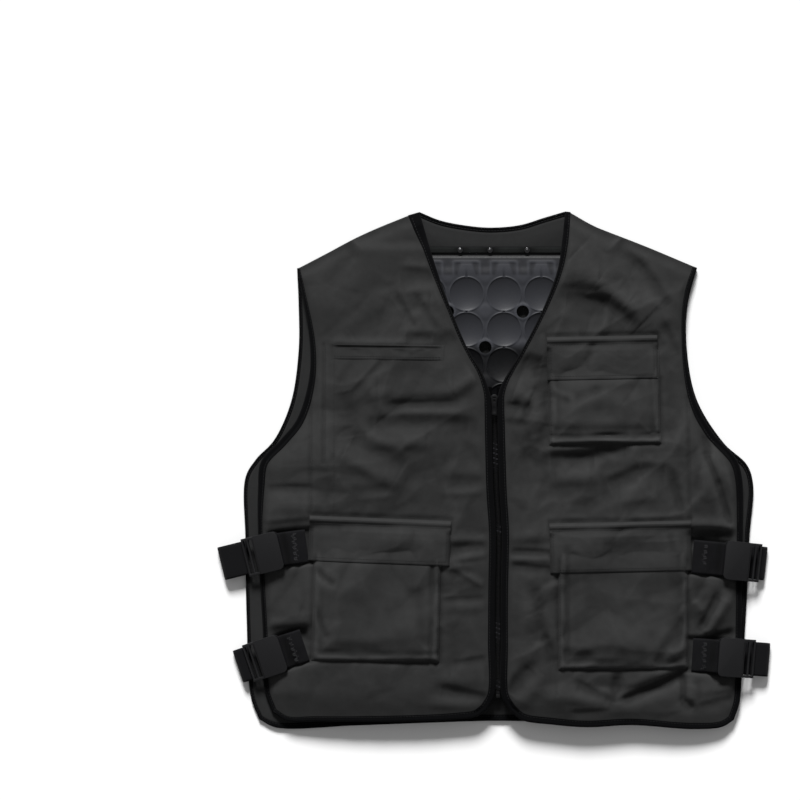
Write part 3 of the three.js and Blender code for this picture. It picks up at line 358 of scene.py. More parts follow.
def smooth_line(points, steps, fine=60):
    """A centripetal Catmull-Rom line through the points."""
    ends = np.vstack([2 * points[0] - points[1], points, 2 * points[-1] - points[-2]])
    t = np.linspace(0, 1, fine, endpoint=False)[:, None]
    pieces = []
    for a, b, c, d in zip(ends, ends[1:], ends[2:], ends[3:]):
        before, here, after = (math.sqrt(np.linalg.norm(step)) for step in (b - a, c - b, d - c))
        start = ((b - a) / before - (c - a) / (before + here) + (c - b) / here) * here
        end = ((c - b) / here - (d - b) / (here + after) + (d - c) / after) * here
        pieces.append(b + start * t + (3 * (c - b) - 2 * start - end) * t**2
                      + (2 * (b - c) + start + end) * t**3)
    return spaced(np.vstack([*pieces, points[-1:]]), steps)


def inset(path, widths, turn):
    """The path moved sideways by a width for each point."""
    along = np.empty_like(path)
    along[1:-1] = path[2:] - path[:-2]
    along[0], along[-1] = path[1] - path[0], path[-1] - path[-2]
    along /= np.linalg.norm(along, axis=1, keepdims=True)
    side = np.stack([-along[:, 1], along[:, 0]], axis=-1) * turn
    return path + side * np.asarray(widths)[:, None], side


def span(bottom, top, first, last):
    """A Coons patch: the sheet spanned by four edges, as rows of points from bottom to top."""
    u = np.linspace(0, 1, len(bottom))[None, :, None]
    v = np.linspace(0, 1, len(first))[:, None, None]
    corner = (bottom[0] * (1 - u) * (1 - v) + bottom[-1] * u * (1 - v)
              + top[0] * (1 - u) * v + top[-1] * u * v)
    return (bottom[None] * (1 - v) + top[None] * v
            + first[:, None] * (1 - u) + last[:, None] * u - corner)


def shares(up, across):
    """For each point of a sheet's grid: its share across and its share up."""
    v, u = np.meshgrid(np.linspace(0, 1, up + 1), np.linspace(0, 1, across + 1), indexing="ij")
    return u, v


def smoothstep(x, low, high):
    """0 below low, 1 above high, and a smooth step between them."""
    t = np.clip((np.asarray(x, dtype=float) - low) / (high - low), 0, 1)
    return t * t * (3 - 2 * t)


def between(stops, values, at):
    """A smooth value between stops, with the slope of its neighbours at each stop."""
    stops, at = np.asarray(stops, dtype=float), np.asarray(at, dtype=float)
    table = np.stack([np.broadcast_to(v, at.shape) for v in values])
    k = np.clip(np.searchsorted(stops, at, side="left") - 1, 0, len(stops) - 2)
    order = np.arange(len(stops))
    low, high = np.maximum(order - 1, 0), np.minimum(order + 1, len(stops) - 1)
    slopes = (table[high] - table[low]) / (stops[high] - stops[low]).reshape(-1, *[1] * at.ndim)
    pick = lambda source, i: np.take_along_axis(source, i[None], axis=0)[0]
    h = (stops[1:] - stops[:-1])[k]
    t = np.clip((at - stops[k]) / h, 0, 1)
    s = 1 - t
    return (pick(table, k) * s * s * (1 + 2 * t) + pick(table, k + 1) * t * t * (1 + 2 * s)
            + h * s * t * (pick(slopes, k) * s - pick(slopes, k + 1) * t))


NOISE_CELLS, NOISE_SHIFT = 64, 20.5


def crumple(x, y, size, seed):
    """Smooth random waves of about one size, between -1 and 1."""
    table = np.random.default_rng(seed).uniform(-1, 1, (NOISE_CELLS, NOISE_CELLS))
    gx, gy = x / size + NOISE_SHIFT, y / size + NOISE_SHIFT
    ix, iy = np.floor(gx).astype(int), np.floor(gy).astype(int)
    fx, fy = smoothstep(gx - ix, 0, 1), smoothstep(gy - iy, 0, 1)
    corner = lambda i, j: table[(ix + i) % NOISE_CELLS, (iy + j) % NOISE_CELLS]
    return ((corner(0, 0) * (1 - fx) + corner(1, 0) * fx) * (1 - fy)
            + (corner(0, 1) * (1 - fx) + corner(1, 1) * fx) * fy)


def facets(x, y, size, seed):
    """Flat facets that meet in creases, as in creased heavy cotton, between -1 and 1."""
    random = np.random.default_rng(seed)
    table = random.uniform(-1, 1, (NOISE_CELLS, NOISE_CELLS))
    leans = random.integers(0, 2, (NOISE_CELLS, NOISE_CELLS))
    # The grid of facets is bent, turned by 30 degrees and longer one way than the other
    warped = [p + 0.45 * size * crumple(x, y, 1.3 * size, seed + k) for k, p in ((1, x), (2, y))]
    gx = (0.87 * warped[0] + 0.5 * warped[1]) / (1.25 * size) + NOISE_SHIFT
    gy = (0.87 * warped[1] - 0.5 * warped[0]) / (0.8 * size) + NOISE_SHIFT
    ix, iy = np.floor(gx).astype(int), np.floor(gy).astype(int)
    fx, fy = gx - ix, gy - iy
    a, b, c, d = (table[(ix + i) % NOISE_CELLS, (iy + j) % NOISE_CELLS]
                  for i, j in ((0, 0), (1, 0), (0, 1), (1, 1)))
    falling = np.where(fx + fy < 1, a + (b - a) * fx + (c - a) * fy,
                       d + (c - d) * (1 - fx) + (b - d) * (1 - fy))
    rising = np.where(fx > fy, a + (b - a) * fx + (d - b) * fy, a + (c - a) * fy + (d - c) * fx)
    return np.where(leans[ix % NOISE_CELLS, iy % NOISE_CELLS] == 0, falling, rising)


def evened(values, reach):
    """Values along a line, each the mean of itself and its neighbours up to a reach."""
    count = 2 * reach + 1
    return np.convolve(np.pad(values, reach, mode="edge"), np.ones(count) / count, mode="valid")


# %% [markdown]
# ## From grids to pieces
# Most pieces here are sheets: a grid of points for the upper face, another for the lower face
# and a rim between them. Building the mesh from arrays is fast and keeps the thickness true.
# Each point also gets its place on the flat cloth, which the weave follows, and a raised value.
# %% Sheet builder
def set_raised(mesh, values):
    """Keeps one number for each point, which the worn finishes read."""
    layer = mesh.attributes.new("raised", "FLOAT", "POINT")
    layer.data.foreach_set("value", np.asarray(values, dtype=np.float32))


def make_piece(name, points, faces, material, cloth_places=None, raised=None):
    points = np.asarray(points, dtype=float)
    mesh = bpy.data.meshes.new(name)
    mesh.from_pydata(points.tolist(), [], [list(map(int, f)) for f in faces])
    if cloth_places is not None:
        layer = mesh.uv_layers.new(name="cloth")
        corner_points = np.empty(len(mesh.loops), dtype=np.int32)
        mesh.loops.foreach_get("vertex_index", corner_points)
        spots = np.asarray(cloth_places, dtype=np.float32)[corner_points]
        layer.data.foreach_set("uv", spots.ravel())
    if raised is not None:
        set_raised(mesh, raised)
    mesh.shade_smooth()
    mesh.materials.append(material)
    piece = bpy.data.objects.new(name, mesh)
    scene.collection.objects.link(piece)
    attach(piece, "root")
    return piece


def grid_faces(rows, columns, offset=0, wrap=False):
    """Four-sided faces of a grid of points; wrap joins the last column to the first."""
    steps = np.arange(columns if wrap else columns - 1)
    j, i = np.meshgrid(np.arange(rows - 1), steps, indexing="ij")
    k = (i + 1) % columns
    corners = [j * columns + i, j * columns + k, (j + 1) * columns + k, (j + 1) * columns + i]
    return np.stack(corners, axis=-1).reshape(-1, 4) + offset


def facing_out(points, faces):
    """The faces turned so that a closed piece has its outside out."""
    a, b, c, d = (points[faces[:, k]] for k in range(4))
    volume = sum(np.einsum("ij,ij->i", a, np.cross(p, q)).sum() for p, q in ((b, c), (c, d)))
    return faces if volume > 0 else faces[:, ::-1]


def sheet_piece(name, upper, lower, material, cloth_places=None, raised=None):
    """A closed sheet between two grids of points; raised is for its upper face."""
    rows, columns = upper.shape[:2]
    count = rows * columns
    points = np.concatenate([upper.reshape(-1, 3), lower.reshape(-1, 3)])
    ids = np.arange(count).reshape(rows, columns)
    rim = np.concatenate([ids[0, :-1], ids[:-1, -1], ids[-1, :0:-1], ids[:0:-1, 0]])
    after = np.roll(rim, -1)
    walls = np.stack([rim, rim + count, after + count, after], axis=-1)
    faces = np.concatenate([grid_faces(rows, columns),
                            grid_faces(rows, columns, count)[:, ::-1], walls])
    if cloth_places is None:
        cloth_places = upper[..., :2]
    places = np.tile(cloth_places.reshape(-1, 2), (2, 1))
    proud = np.zeros(2 * count)
    if raised is not None:
        proud[:count] = raised.reshape(-1)
    return make_piece(name, points, facing_out(points, faces), material, places, proud)


def blurred(grid, reach):
    """A grid of heights smoothed over a number of points each way."""
    count = 2 * reach + 1
    for axis in (0, 1):
        edges = [(reach, reach) if a == axis else (0, 0) for a in (0, 1)]
        total = np.cumsum(np.insert(np.pad(grid, edges, mode="edge"), 0, 0, axis=axis), axis=axis)
        size = grid.shape[axis]
        grid = (np.take(total, np.arange(count, count + size), axis=axis)
                - np.take(total, np.arange(size), axis=axis)) / count
    return grid


# The finishes paint places below their surroundings darker, as painted shade, and ridges paler as
# rubbed
def proud_of(heights, reach=5, full=0.8 * MM):
    """How far each place stands above its surroundings, from -1 to 1."""
    return np.clip((heights - blurred(heights, reach)) / full, -1, 1)


def tree_of(piece):
    mesh = piece.data
    return BVHTree.FromPolygons([v.co for v in mesh.vertices], [p.vertices for p in mesh.polygons])


RAY_START = 0.2


def drop(trees, xy, default=0.0):
    """The highest surface under each place, found by a ray straight down."""
    flat = np.asarray(xy).reshape(-1, 2)
    found = np.full(len(flat), -1.0)
    for tree in trees:
        for k, (x, y) in enumerate(flat):
            hit = tree.ray_cast((x, y, RAY_START), (0, 0, -1))[0]
            if hit is not None and hit.z > found[k]:
                found[k] = hit.z
    found[found < 0] = default
    return found.reshape(np.asarray(xy).shape[:-1])


# %% [markdown]
# ## Stitches
# A seam is a row of short threads, each sinking into the cloth at both ends. Painting them
# would do from afar, but small tubes catch the light as thread does. One function lays tubes
# along any line of points, and all stitches of one piece are joined into one object.
# %% Stitches
STITCH_LENGTH = 2.7 * MM
STITCH_GAP = 0.9 * MM
THREAD_RADIUS = 0.32 * MM


STITCH_SIDES = 5


class StitchWork:
    """Collects stitches and joins them into one piece."""

    def __init__(self, name):
        self.name, self.points, self.faces, self.count = name, [], [], 0

    def row(self, line, radius=THREAD_RADIUS):
        """Stitches along a line of points, each a short tube that sinks in at both ends."""
        line = np.asarray(line)
        run = run_along(line)
        pitch = STITCH_LENGTH + STITCH_GAP
        at = lambda s: np.array([np.interp(s, run, line[:, k]) for k in range(3)])
        for n in range(int(run[-1] // pitch)):
            stations = [at(n * pitch + STITCH_LENGTH * f) for f in (0.0, 0.25, 0.75, 1.0)]
            ahead = stations[-1] - stations[0]
            ahead /= np.linalg.norm(ahead)
            side = np.cross(ahead, (0, 0, 1.0))
            side /= np.linalg.norm(side)
            self.tube(stations, side, np.cross(side, ahead), radius)

    def tube(self, stations, side, up, radius):
        base = len(self.points)
        for centre, size, sink in zip(stations, (0.5, 1, 1, 0.5), (0.9, 0, 0, 0.9)):
            for k in range(STITCH_SIDES):
                turn = 2 * math.pi * k / STITCH_SIDES
                self.points.append(centre - up * sink * radius
                                   + (side * math.cos(turn) + up * math.sin(turn)) * radius * size)
        last = base + 3 * STITCH_SIDES
        for ring in range(base, last, STITCH_SIDES):
            for k in range(STITCH_SIDES):
                a, b = ring + k, ring + (k + 1) % STITCH_SIDES
                self.faces.append((a, b, b + STITCH_SIDES, a + STITCH_SIDES))
        self.faces.append(tuple(range(base, base + STITCH_SIDES))[::-1])
        self.faces.append(tuple(range(last, last + STITCH_SIDES)))
        self.count += 1

    def finish(self, slot="cloth", thread=sewing_thread):
        piece = make_piece(self.name, self.points, self.faces, thread)
        print(self.name, self.count, "stitches")
        return piece


# %% [markdown]
# ## The back panel
# The back is one flat sheet that lies on the table. Its edges rise a little, because the edge
# tape is thicker than the cloth. Only its margins, the neck and a corner under the zip show, so
# it needs soft waves there and no strong folds.
# %% Outline of the back
CLOTH_THICKNESS = 2 * MM
BINDING_WIDTH = 8.6 * MM
BINDING_THICKNESS = 3.4 * MM
BACK_LIFT = 2.4 * MM
BACK_HEM = [
    (-0.931, 0.017), (-0.864, 0.001), (-0.548, 0.005), (-0.272, 0.010), (0.004, 0.014),
    (0.201, 0.012), (0.477, 0.009), (0.753, 0.008), (0.872, 0.012), (0.927, 0.025),
]
BACK_RIGHT_SIDE = [
    (-0.931, 0.017), (-0.964, 0.062), (-0.980, 0.209), (-0.985, 0.364), (-0.985, 0.484),
    (-0.943, 0.520), (-0.872, 0.557), (-0.805, 0.631), (-0.775, 0.731), (-0.775, 0.820),
    (-0.781, 0.889),
]
BACK_LEFT_SIDE = [
    (0.927, 0.025), (0.963, 0.074), (0.990, 0.224), (1.004, 0.373), (1.018, 0.472),
    (0.994, 0.509), (0.903, 0.551), (0.797, 0.634), (0.757, 0.731), (0.759, 0.816),
    (0.797, 0.890),
]
SHOULDERS = [
    (-0.781, 0.889), (-0.667, 0.917), (-0.509, 0.957), (-0.298, 0.998), (-0.217, 0.982),
    (-0.114, 0.972), (-0.016, 0.968), (0.099, 0.973), (0.193, 0.987), (0.276, 0.999),
    (0.398, 0.969), (0.596, 0.931), (0.797, 0.890),
]
NECK_START, NECK_END = 3, 9
NECK_TAPE = 0.6 * BINDING_WIDTH
HIDDEN_IN_TAPE = 0.7

# %% The back sheet
def back_path(steps_up, steps_across):
    right = smooth_line(place(BACK_RIGHT_SIDE), steps_up)
    hem = smooth_line(place(BACK_HEM), steps_across)
    left = smooth_line(place(BACK_LEFT_SIDE), steps_up)
    return np.vstack([right[::-1], hem[1:], left[1:]])


def back_tape(up, across):
    """The back's tape turns under at the sides, so it shows narrower there than at the hem."""
    stops = [0, up * 0.97, up + across * 0.1, up + across * 0.9,
             up * 1.03 + across, 2 * up + across]
    widths = [0.5, 0.5, 0.85, 0.85, 0.65, 0.65]
    return BINDING_WIDTH * np.interp(np.arange(2 * up + across + 1), stops, widths)


def back_lift(u, v):
    """How far the edges rise over the tape's lower half."""
    side = 1 - smoothstep(np.minimum(u, 1 - u), 0.06, 0.2)
    end = 1 - smoothstep(np.minimum(v, 1 - v), 0.02, 0.07)
    return BACK_LIFT * np.maximum(side, end)


def make_back():
    up, across, seam_steps = 110, 116, 30
    path = back_path(up, across)
    sewn, _ = inset(path, back_tape(up, across) * HIDDEN_IN_TAPE, 1)
    neck = smooth_line(place(SHOULDERS[NECK_START:NECK_END + 1]), across - 2 * seam_steps)
    neck_sewn, _ = inset(neck, np.full(len(neck), NECK_TAPE * HIDDEN_IN_TAPE), -1)
    right, left = sewn[:up + 1][::-1], sewn[up + across:]
    right_marks = np.vstack([right[-1:], place(SHOULDERS[1:NECK_START]), neck_sewn[:1]])
    left_marks = np.vstack([neck_sewn[-1:], place(SHOULDERS[NECK_END + 1:-1]), left[-1:]])
    right_seam, left_seam = (smooth_line(m, seam_steps) for m in (right_marks, left_marks))
    top = np.vstack([right_seam, neck_sewn[1:-1], left_seam])
    middle = span(sewn[up:up + across + 1], top, right, left)
    u, v = shares(up, across)
    x, y = middle[..., 0], middle[..., 1]
    free = smoothstep(np.minimum(np.minimum(u, 1 - u), np.minimum(v, 1 - v)), 0.0, 0.03)
    wave = 0.5 + 0.5 * crumple(x, y, 42 * MM, 3)
    ripple = 0.5 + 0.5 * crumple(x, y, 15 * MM, 4)
    z = back_lift(u, v) + free * (0.9 * wave + 0.35 * ripple) * MM
    lower = np.dstack([middle, z])
    upper = np.dstack([middle, z + CLOTH_THICKNESS])
    piece = sheet_piece("back_cloth", upper, lower, lining_cloth, raised=proud_of(z))
    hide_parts("back_panel")
    return piece


back_cloth = make_back()
print("back", len(back_cloth.data.polygons), "faces")

# %% [markdown]
# ## Edge tape
# All free edges are bound: a tape is folded over the edge and sewn through. Its section is a
# thin U that holds the cloth. The U is swept along the edge, its upper lip puffs between the
# fold and the seam, and it puckers slightly with every stitch.
# %% Tape builder
TAPE_CLOTH = 0.65 * MM
PUCKER_PITCH = 11 * MM
SEAM_SHARE = 0.78


def fold_section(width, half):
    """The tape's section as places inwards from the edge and up from its middle."""
    inner = half - TAPE_CLOTH
    turn = np.linspace(-90, 90, 7) * math.pi / 180
    round_out = [(half * (1 - math.cos(a)), half * math.sin(a)) for a in turn]
    round_in = [(half - inner * math.cos(a), inner * math.sin(a)) for a in turn[::-1]]
    lips = [0.3, 0.55, 0.75, 0.9, 1.0]
    below = [(width * s, -half) for s in lips[::-1]]
    above = [(width * s, half) for s in lips]
    return np.array([*below, *round_out, *above, (width, inner), *round_in, (width, -inner)])


def tape_piece(name, path, widths, heights, turn, node_name, stitches, cloth_rise=None, seed=5):
    """Sweeps the tape along a path; cloth_rise is how far the cloth climbs under its inner edge."""
    count = len(path)
    cloth_rise = np.zeros(count) if cloth_rise is None else cloth_rise
    _, side = inset(path, widths, turn)
    run = run_along(path)
    pucker = np.sin(run / PUCKER_PITCH * 2 * math.pi + 3 * crumple(run, run * 0, 60 * MM, seed))
    drift = crumple(run, run * 0 + 1, 35 * MM, seed + 1)
    half = BINDING_THICKNESS / 2
    rings, places = [], []
    for k in range(count):
        section = fold_section(widths[k], half)
        share = section[:, 0] / widths[k]
        seam = np.exp(-((share - SEAM_SHARE) / 0.1) ** 2)
        puff = np.sin(math.pi * np.clip(share / SEAM_SHARE, 0, 1))
        outward = np.sign(section[:, 1]) * (np.abs(section[:, 1]) > half * 0.9)
        z = section[:, 1] + outward * (0.25 * puff - (0.3 + 0.12 * pucker[k]) * seam) * MM
        reach = section[:, 0] + 0.18 * MM * drift[k] * (share > 0.9)
        xy = path[k] + side[k] * reach[:, None]
        climb = np.clip((share - HIDDEN_IN_TAPE) / (1 - HIDDEN_IN_TAPE), 0, 1)
        z += heights[k] + cloth_rise[k] * climb
        rings.append(np.column_stack([xy, z]))
        places.append(np.column_stack([np.full(len(section), run[k]), section.sum(axis=1)]))
    size = len(rings[0])
    points = np.vstack(rings)
    faces = [tuple(f) for f in grid_faces(count, size, wrap=True)]
    strip = np.array(faces)
    if np.array_equal(facing_out(points, strip), strip):
        ends = [tuple(range(size))[::-1], tuple(range((count - 1) * size, count * size))]
    else:
        faces = [f[::-1] for f in faces]
        ends = [tuple(range(size)), tuple(range((count - 1) * size, count * size))[::-1]]
    raised = np.tile(np.where(fold_section(1, 0.3)[:, 0] < 0.2, 0.5, 0.0), count)
    piece = make_piece(name, points, faces + ends, edge_tape, np.vstack(places), raised)
    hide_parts(node_name)
    seam_line = path + side * (np.asarray(widths) * SEAM_SHARE)[:, None]
    seam_height = np.asarray(heights) + half - 0.2 * MM + 0.27 * cloth_rise
    stitches.row(np.column_stack([seam_line, seam_height]))
    return piece


# %% Tape of the back and the neck
back_stitches = StitchWork("back_stitching")
rim_height = BACK_LIFT + CLOTH_THICKNESS / 2
path = back_path(260, 240)
sway = 0.35 * MM * crumple(path[:, 0], path[:, 1], 30 * MM, 8)
tape_piece("back_edge_tape", path, back_tape(260, 240), rim_height + np.abs(sway), 1,
           "back_binding", back_stitches)
neck_path = smooth_line(place(SHOULDERS[NECK_START:NECK_END + 1]), 90)
even = np.ones(len(neck_path))
tape_piece("neck_edge_tape", neck_path, NECK_TAPE * even, rim_height * even, -1,
           "neck_binding", back_stitches)
back_stitches.finish("binding")

# %% [markdown]
# ## The front panels
# Each front lies over the cooling panel and the back, higher in its middle than at its bound
# edges. A table of sections gives that broad form. The folds are laid on it one by one, as
# lines with a reach and a height, because their places make the cloth look like this vest and
# not like any cloth. A cloth simulation would fold it somewhere else.
# %% Tables of the fronts
FRONT_RISE = 30 * MM
FOLD_HEIGHT = 5 * MM
SECTION_PLACES = [0, 0.1, 0.28, 0.62, 1]
# Each row: share up from the hem, then heights at the side, rise, flank, crown and zip
SECTIONS = [
    (0.00, 0.27, 0.42, 0.57, 0.63, 0.58),
    (0.07, 0.27, 0.56, 0.82, 0.88, 0.78),
    (0.30, 0.27, 0.60, 0.92, 1.00, 0.86),
    (0.50, 0.30, 0.66, 0.94, 1.00, 0.88),
    (0.66, 0.42, 0.70, 0.90, 0.95, 0.84),
    (0.84, 0.40, 0.60, 0.74, 0.76, 0.62),
    (1.00, 0.24, 0.24, 0.25, 0.25, 0.24),
]
RIGHT_OUTLINE = {
    "hem": [
        (-0.878, 0.031), (-0.821, 0.015), (-0.706, 0.014), (-0.375, 0.014), (-0.158, 0.018),
        (-0.075, 0.023), (-0.033, 0.037),
    ],
    "opening": [
        (-0.033, 0.037), (-0.003, 0.065), (-0.001, 0.170), (0.000, 0.267), (0.003, 0.373),
        (-0.008, 0.470), (-0.013, 0.576), (-0.018, 0.640), (-0.033, 0.665), (-0.058, 0.693),
        (-0.110, 0.735), (-0.197, 0.839), (-0.249, 0.915), (-0.298, 0.998),
    ],
    "shoulder": [
        (-0.781, 0.889), (-0.667, 0.917), (-0.509, 0.957), (-0.298, 0.998),
    ],
    "side": [
        (-0.878, 0.031), (-0.909, 0.074), (-0.916, 0.190), (-0.933, 0.344), (-0.935, 0.460),
        (-0.923, 0.516), (-0.844, 0.559), (-0.781, 0.598), (-0.734, 0.675), (-0.730, 0.745),
        (-0.761, 0.838), (-0.781, 0.889),
    ],
}
LEFT_OUTLINE = {
    "hem": [
        (0.941, 0.016), (0.895, 0.003), (0.785, -0.001), (0.536, 0.007), (0.363, 0.003),
        (0.225, 0.008), (0.103, 0.017), (0.055, 0.036),
    ],
    "opening": [
        (0.055, 0.036), (0.024, 0.065), (0.021, 0.170), (0.021, 0.267), (0.025, 0.373),
        (0.015, 0.470), (0.009, 0.576), (0.009, 0.640), (0.022, 0.662), (0.056, 0.692),
        (0.105, 0.731), (0.189, 0.812), (0.245, 0.886), (0.264, 0.944), (0.276, 0.999),
    ],
    "shoulder": [
        (0.797, 0.890), (0.596, 0.931), (0.398, 0.969), (0.276, 0.999),
    ],
    "side": [
        (0.941, 0.016), (0.965, 0.054), (0.972, 0.209), (0.976, 0.383), (0.973, 0.484),
        (0.951, 0.520), (0.856, 0.573), (0.789, 0.634), (0.752, 0.727), (0.752, 0.805),
        (0.769, 0.851), (0.797, 0.890),
    ],
}

# %% Folds of the right front
# Each row: a line from x1, y1 to x2, y2 and its reach, in thousandths, and its height in hundredths
RIGHT_FOLDS = [
    (-592, 925, -647, 853, 36, -45), (-375, 872, -233, 872, 45, -65),
    (-359, 896, -264, 892, 24, 50), (-355, 847, -249, 851, 24, 35),
    (-387, 836, -320, 776, 16, -45), (-316, 834, -229, 770, 20, -55),
    (-256, 830, -193, 828, 51, 55), (-351, 754, -249, 752, 32, -60),
    (-249, 747, -130, 754, 43, -70), (-391, 816, -564, 758, 43, -50),
    (-450, 706, -552, 652, 14, -40), (-564, 704, -611, 667, 20, -30),
    (-462, 648, -170, 652, 43, 100), (-170, 652, -83, 681, 32, 80),
    (-406, 625, -158, 629, 20, -50), (-383, 613, -154, 613, 20, 35),
    (-469, 588, -107, 588, 36, -90), (-509, 555, -276, 555, 39, 60),
    (-560, 560, -359, 505, 42, -85), (-600, 530, -400, 480, 36, 70),
    (-485, 655, -425, 607, 28, 40), (-635, 746.5, -370, 745.5, 16, 45),
    (-370, 745.5, -240, 744, 14, 22), (-564, 460, -414, 460, 28, -35),
    (-193, 499, -59, 499, 32, 30), (-178, 478, -47, 478, 24, -20),
    (-201, 458, -59, 460, 24, 35), (-525, 447, -422, 451, 20, 30),
    (-592, 650, -560, 565, 40, -90), (-651, 596, -627, 480, 32, 30),
    (-107, 544, -59, 509, 24, -30), (-170, 366, -43, 368, 18, 45),
    (-170, 350, -43, 352, 16, -35), (-185, 327, -43, 337, 18, 45),
    (-178, 308, -99, 302, 20, -40), (-221, 317, -150, 309, 14, 40),
    (-150, 309, -51, 277, 14, 45), (-205, 250, -51, 253, 12, -35),
    (-158, 236, -43, 240, 28, 35), (-158, 128, -43, 137, 12, -30), (-178, 101, -43, 97, 36, 50),
    (-213, 77, -39, 58, 28, -90), (-256, 48, -59, 43, 24, 50), (-895, 464, -726, 466, 16, -35),
    (-911, 427, -730, 433, 36, 45), (-907, 404, -738, 412, 20, 50),
    (-903, 375, -738, 383, 28, -60), (-895, 248, -769, 228, 47, 50),
    (-888, 205, -746, 209, 24, 50), (-903, 180, -738, 188, 32, -70),
    (-888, 74, -769, 77, 36, 35), (-533, 915, -564, 847, 39, 30),
]

# %% Folds of the left front
LEFT_FOLDS = [
    (473, 938, 572, 894, 28, -50), (572, 894, 682, 816, 28, -50), (308, 915, 580, 785, 85, 110),
    (400, 850, 480, 790, 50, -25), (256, 870, 406, 865, 39, 60), (406, 865, 525, 822, 39, 60),
    (525, 822, 588, 774, 32, 40), (280, 828, 430, 820, 36, -60), (430, 820, 533, 785, 32, -50),
    (209, 743, 335, 754, 32, 40), (667, 779, 710, 727, 20, -40), (604, 828, 631, 779, 32, 30),
    (67, 712, 178, 700, 45, -80), (178, 700, 201, 634, 32, -70), (201, 634, 205, 580, 24, -50),
    (75, 650, 138, 638, 43, 90), (32, 625, 91, 625, 14, -20), (32, 592, 91, 594, 14, -20),
    (130, 625, 103, 586, 16, -30), (158, 611, 150, 557, 24, 40), (217, 522, 391, 524, 32, -90),
    (391, 538, 513, 538, 20, -50), (241, 484, 375, 487, 36, 50), (446, 472, 572, 499, 32, -55),
    (572, 499, 667, 495, 39, -40), (489, 447, 635, 451, 32, 40), (698, 484, 730, 418, 20, -35),
    (832, 528, 876, 472, 14, -55), (876, 472, 927, 395, 14, -55), (895, 503, 935, 453, 20, 35),
    (809, 499, 856, 441, 28, 35), (828, 565, 840, 528, 20, -50), (67, 342, 213, 340, 16, -35),
    (59, 329, 209, 329, 16, 30), (67, 315, 213, 309, 16, -35), (47, 373, 209, 379, 36, 40),
    (154, 271, 181, 228, 24, -40), (166, 221, 229, 128, 24, -60), (118, 248, 99, 151, 32, 30),
    (138, 118, 55, 70, 32, -60), (178, 108, 99, 50, 32, 40), (241, 66, 430, 58, 36, 50),
    (323, 85, 446, 54, 24, -50), (477, 101, 462, 50, 20, -50), (734, 106, 505, 56, 20, -90),
    (682, 116, 513, 85, 24, 40), (308, 31, 438, 33, 16, -40), (738, 101, 742, 54, 14, -50),
    (742, 54, 777, 39, 20, -50), (769, 85, 769, 54, 20, 35), (809, 74, 935, 85, 28, 35),
    (809, 43, 935, 58, 20, -30), (769, 395, 939, 391, 20, 70), (769, 369, 943, 368, 28, -70),
    (872, 253, 813, 195, 18, -60), (915, 248, 832, 182, 20, 60), (785, 248, 809, 224, 24, 35),
    (824, 174, 947, 184, 24, -70),
]

# %% [markdown]
# ## What presses on the fronts
# Pockets are sewn down by their edges, and each strap pulls the cloth in under it. Both leave
# marks round them: a narrow crease along a pocket's edge and a broad trough under a strap. So
# the tables of the pockets and straps come before the relief that needs them.
# %% Pocket table
POCKET_DEPTH = 9 * MM
POCKET_WALL = 1.6 * MM
FLAP_THICKNESS = 1.2 * MM
MOUTH_DROP = 18 * MM
# Sizes in millimetres from the middle of the flap's top edge, tilts in degrees
POCKETS = [
    dict(name="right_lower", side="right", x=-0.452, y=0.407,
         flap_width=169, flap_drop=54, flap_tilt=-2.2,
         body_width=153, body_drop=172, body_tilt=-1.0, body_shift=-3,
         roll_left=0.2, roll_right=1.0, roll_bottom=0.6),
    dict(name="left_lower", side="left", x=0.489, y=0.400,
         flap_width=169, flap_drop=60, flap_tilt=1.2,
         body_width=156, body_drop=177, body_tilt=0.5, body_shift=3,
         roll_left=1.0, roll_right=0.2, roll_bottom=0.7),
    dict(name="left_chest", side="left", x=0.419, y=0.758,
         flap_width=132, flap_drop=52, flap_tilt=1.1,
         body_width=134, body_drop=130, body_tilt=0.8, body_shift=2,
         roll_left=0.3, roll_right=0.4, roll_bottom=2.0),
]


def pocket_places(pocket, tilt, across, down):
    """Places in metres, across and down from the middle of the flap's top edge."""
    turn = math.radians(tilt)
    x0, y0 = place([pocket["x"], pocket["y"]])
    return np.stack([x0 + across * math.cos(turn) + down * math.sin(turn),
                     y0 + across * math.sin(turn) - down * math.cos(turn)], axis=-1)


def local_folds(rows, across, down):
    """Folds of a small piece; rows: across1, down1, across2, down2, reach, height, all in mm."""
    total = np.zeros_like(across)
    for a1, d1, a2, d2, reach, height in np.array(rows, dtype=float).reshape(-1, 6) * MM:
        da, dd = a2 - a1, d2 - d1
        t = np.clip(((across - a1) * da + (down - d1) * dd) / (da * da + dd * dd), 0, 1)
        away = np.hypot(across - a1 - t * da, down - d1 - t * dd)
        total += height * np.exp(-(away / reach) ** 2)
    return total


# %% Strap table
WEBBING_WIDTH = 40
WEBBING_THICKNESS = 1.6
BUCKLE_WIDTH, BUCKLE_LENGTH, BUCKLE_THICKNESS = 46, 30, 9
PRONG_THICKNESS, PRONG_LENGTH = 4, 20
LADDER_LENGTH, LADDER_BAR = 15, 2.2
SLOT_DEPTH = 5
BUCKLE_TILT = math.radians(12)
TUCKED_LENGTH = 26
# Each row: name, side, where the webbing leaves the pocket, where the buckle starts,
# how far the back strap reaches and where it turns round, in shares
STRAPS = [
    ("right_upper", "right", (-0.742, 0.353), (-0.840, 0.347), 1.078, 0.318),
    ("right_lower", "right", (-0.750, 0.162), (-0.832, 0.149), 1.012, 0.119),
    ("left_upper", "left", (0.775, 0.333), (0.896, 0.327), 1.066, 0.318),
    ("left_lower", "left", (0.775, 0.143), (0.872, 0.140), 1.078, 0.132),
]

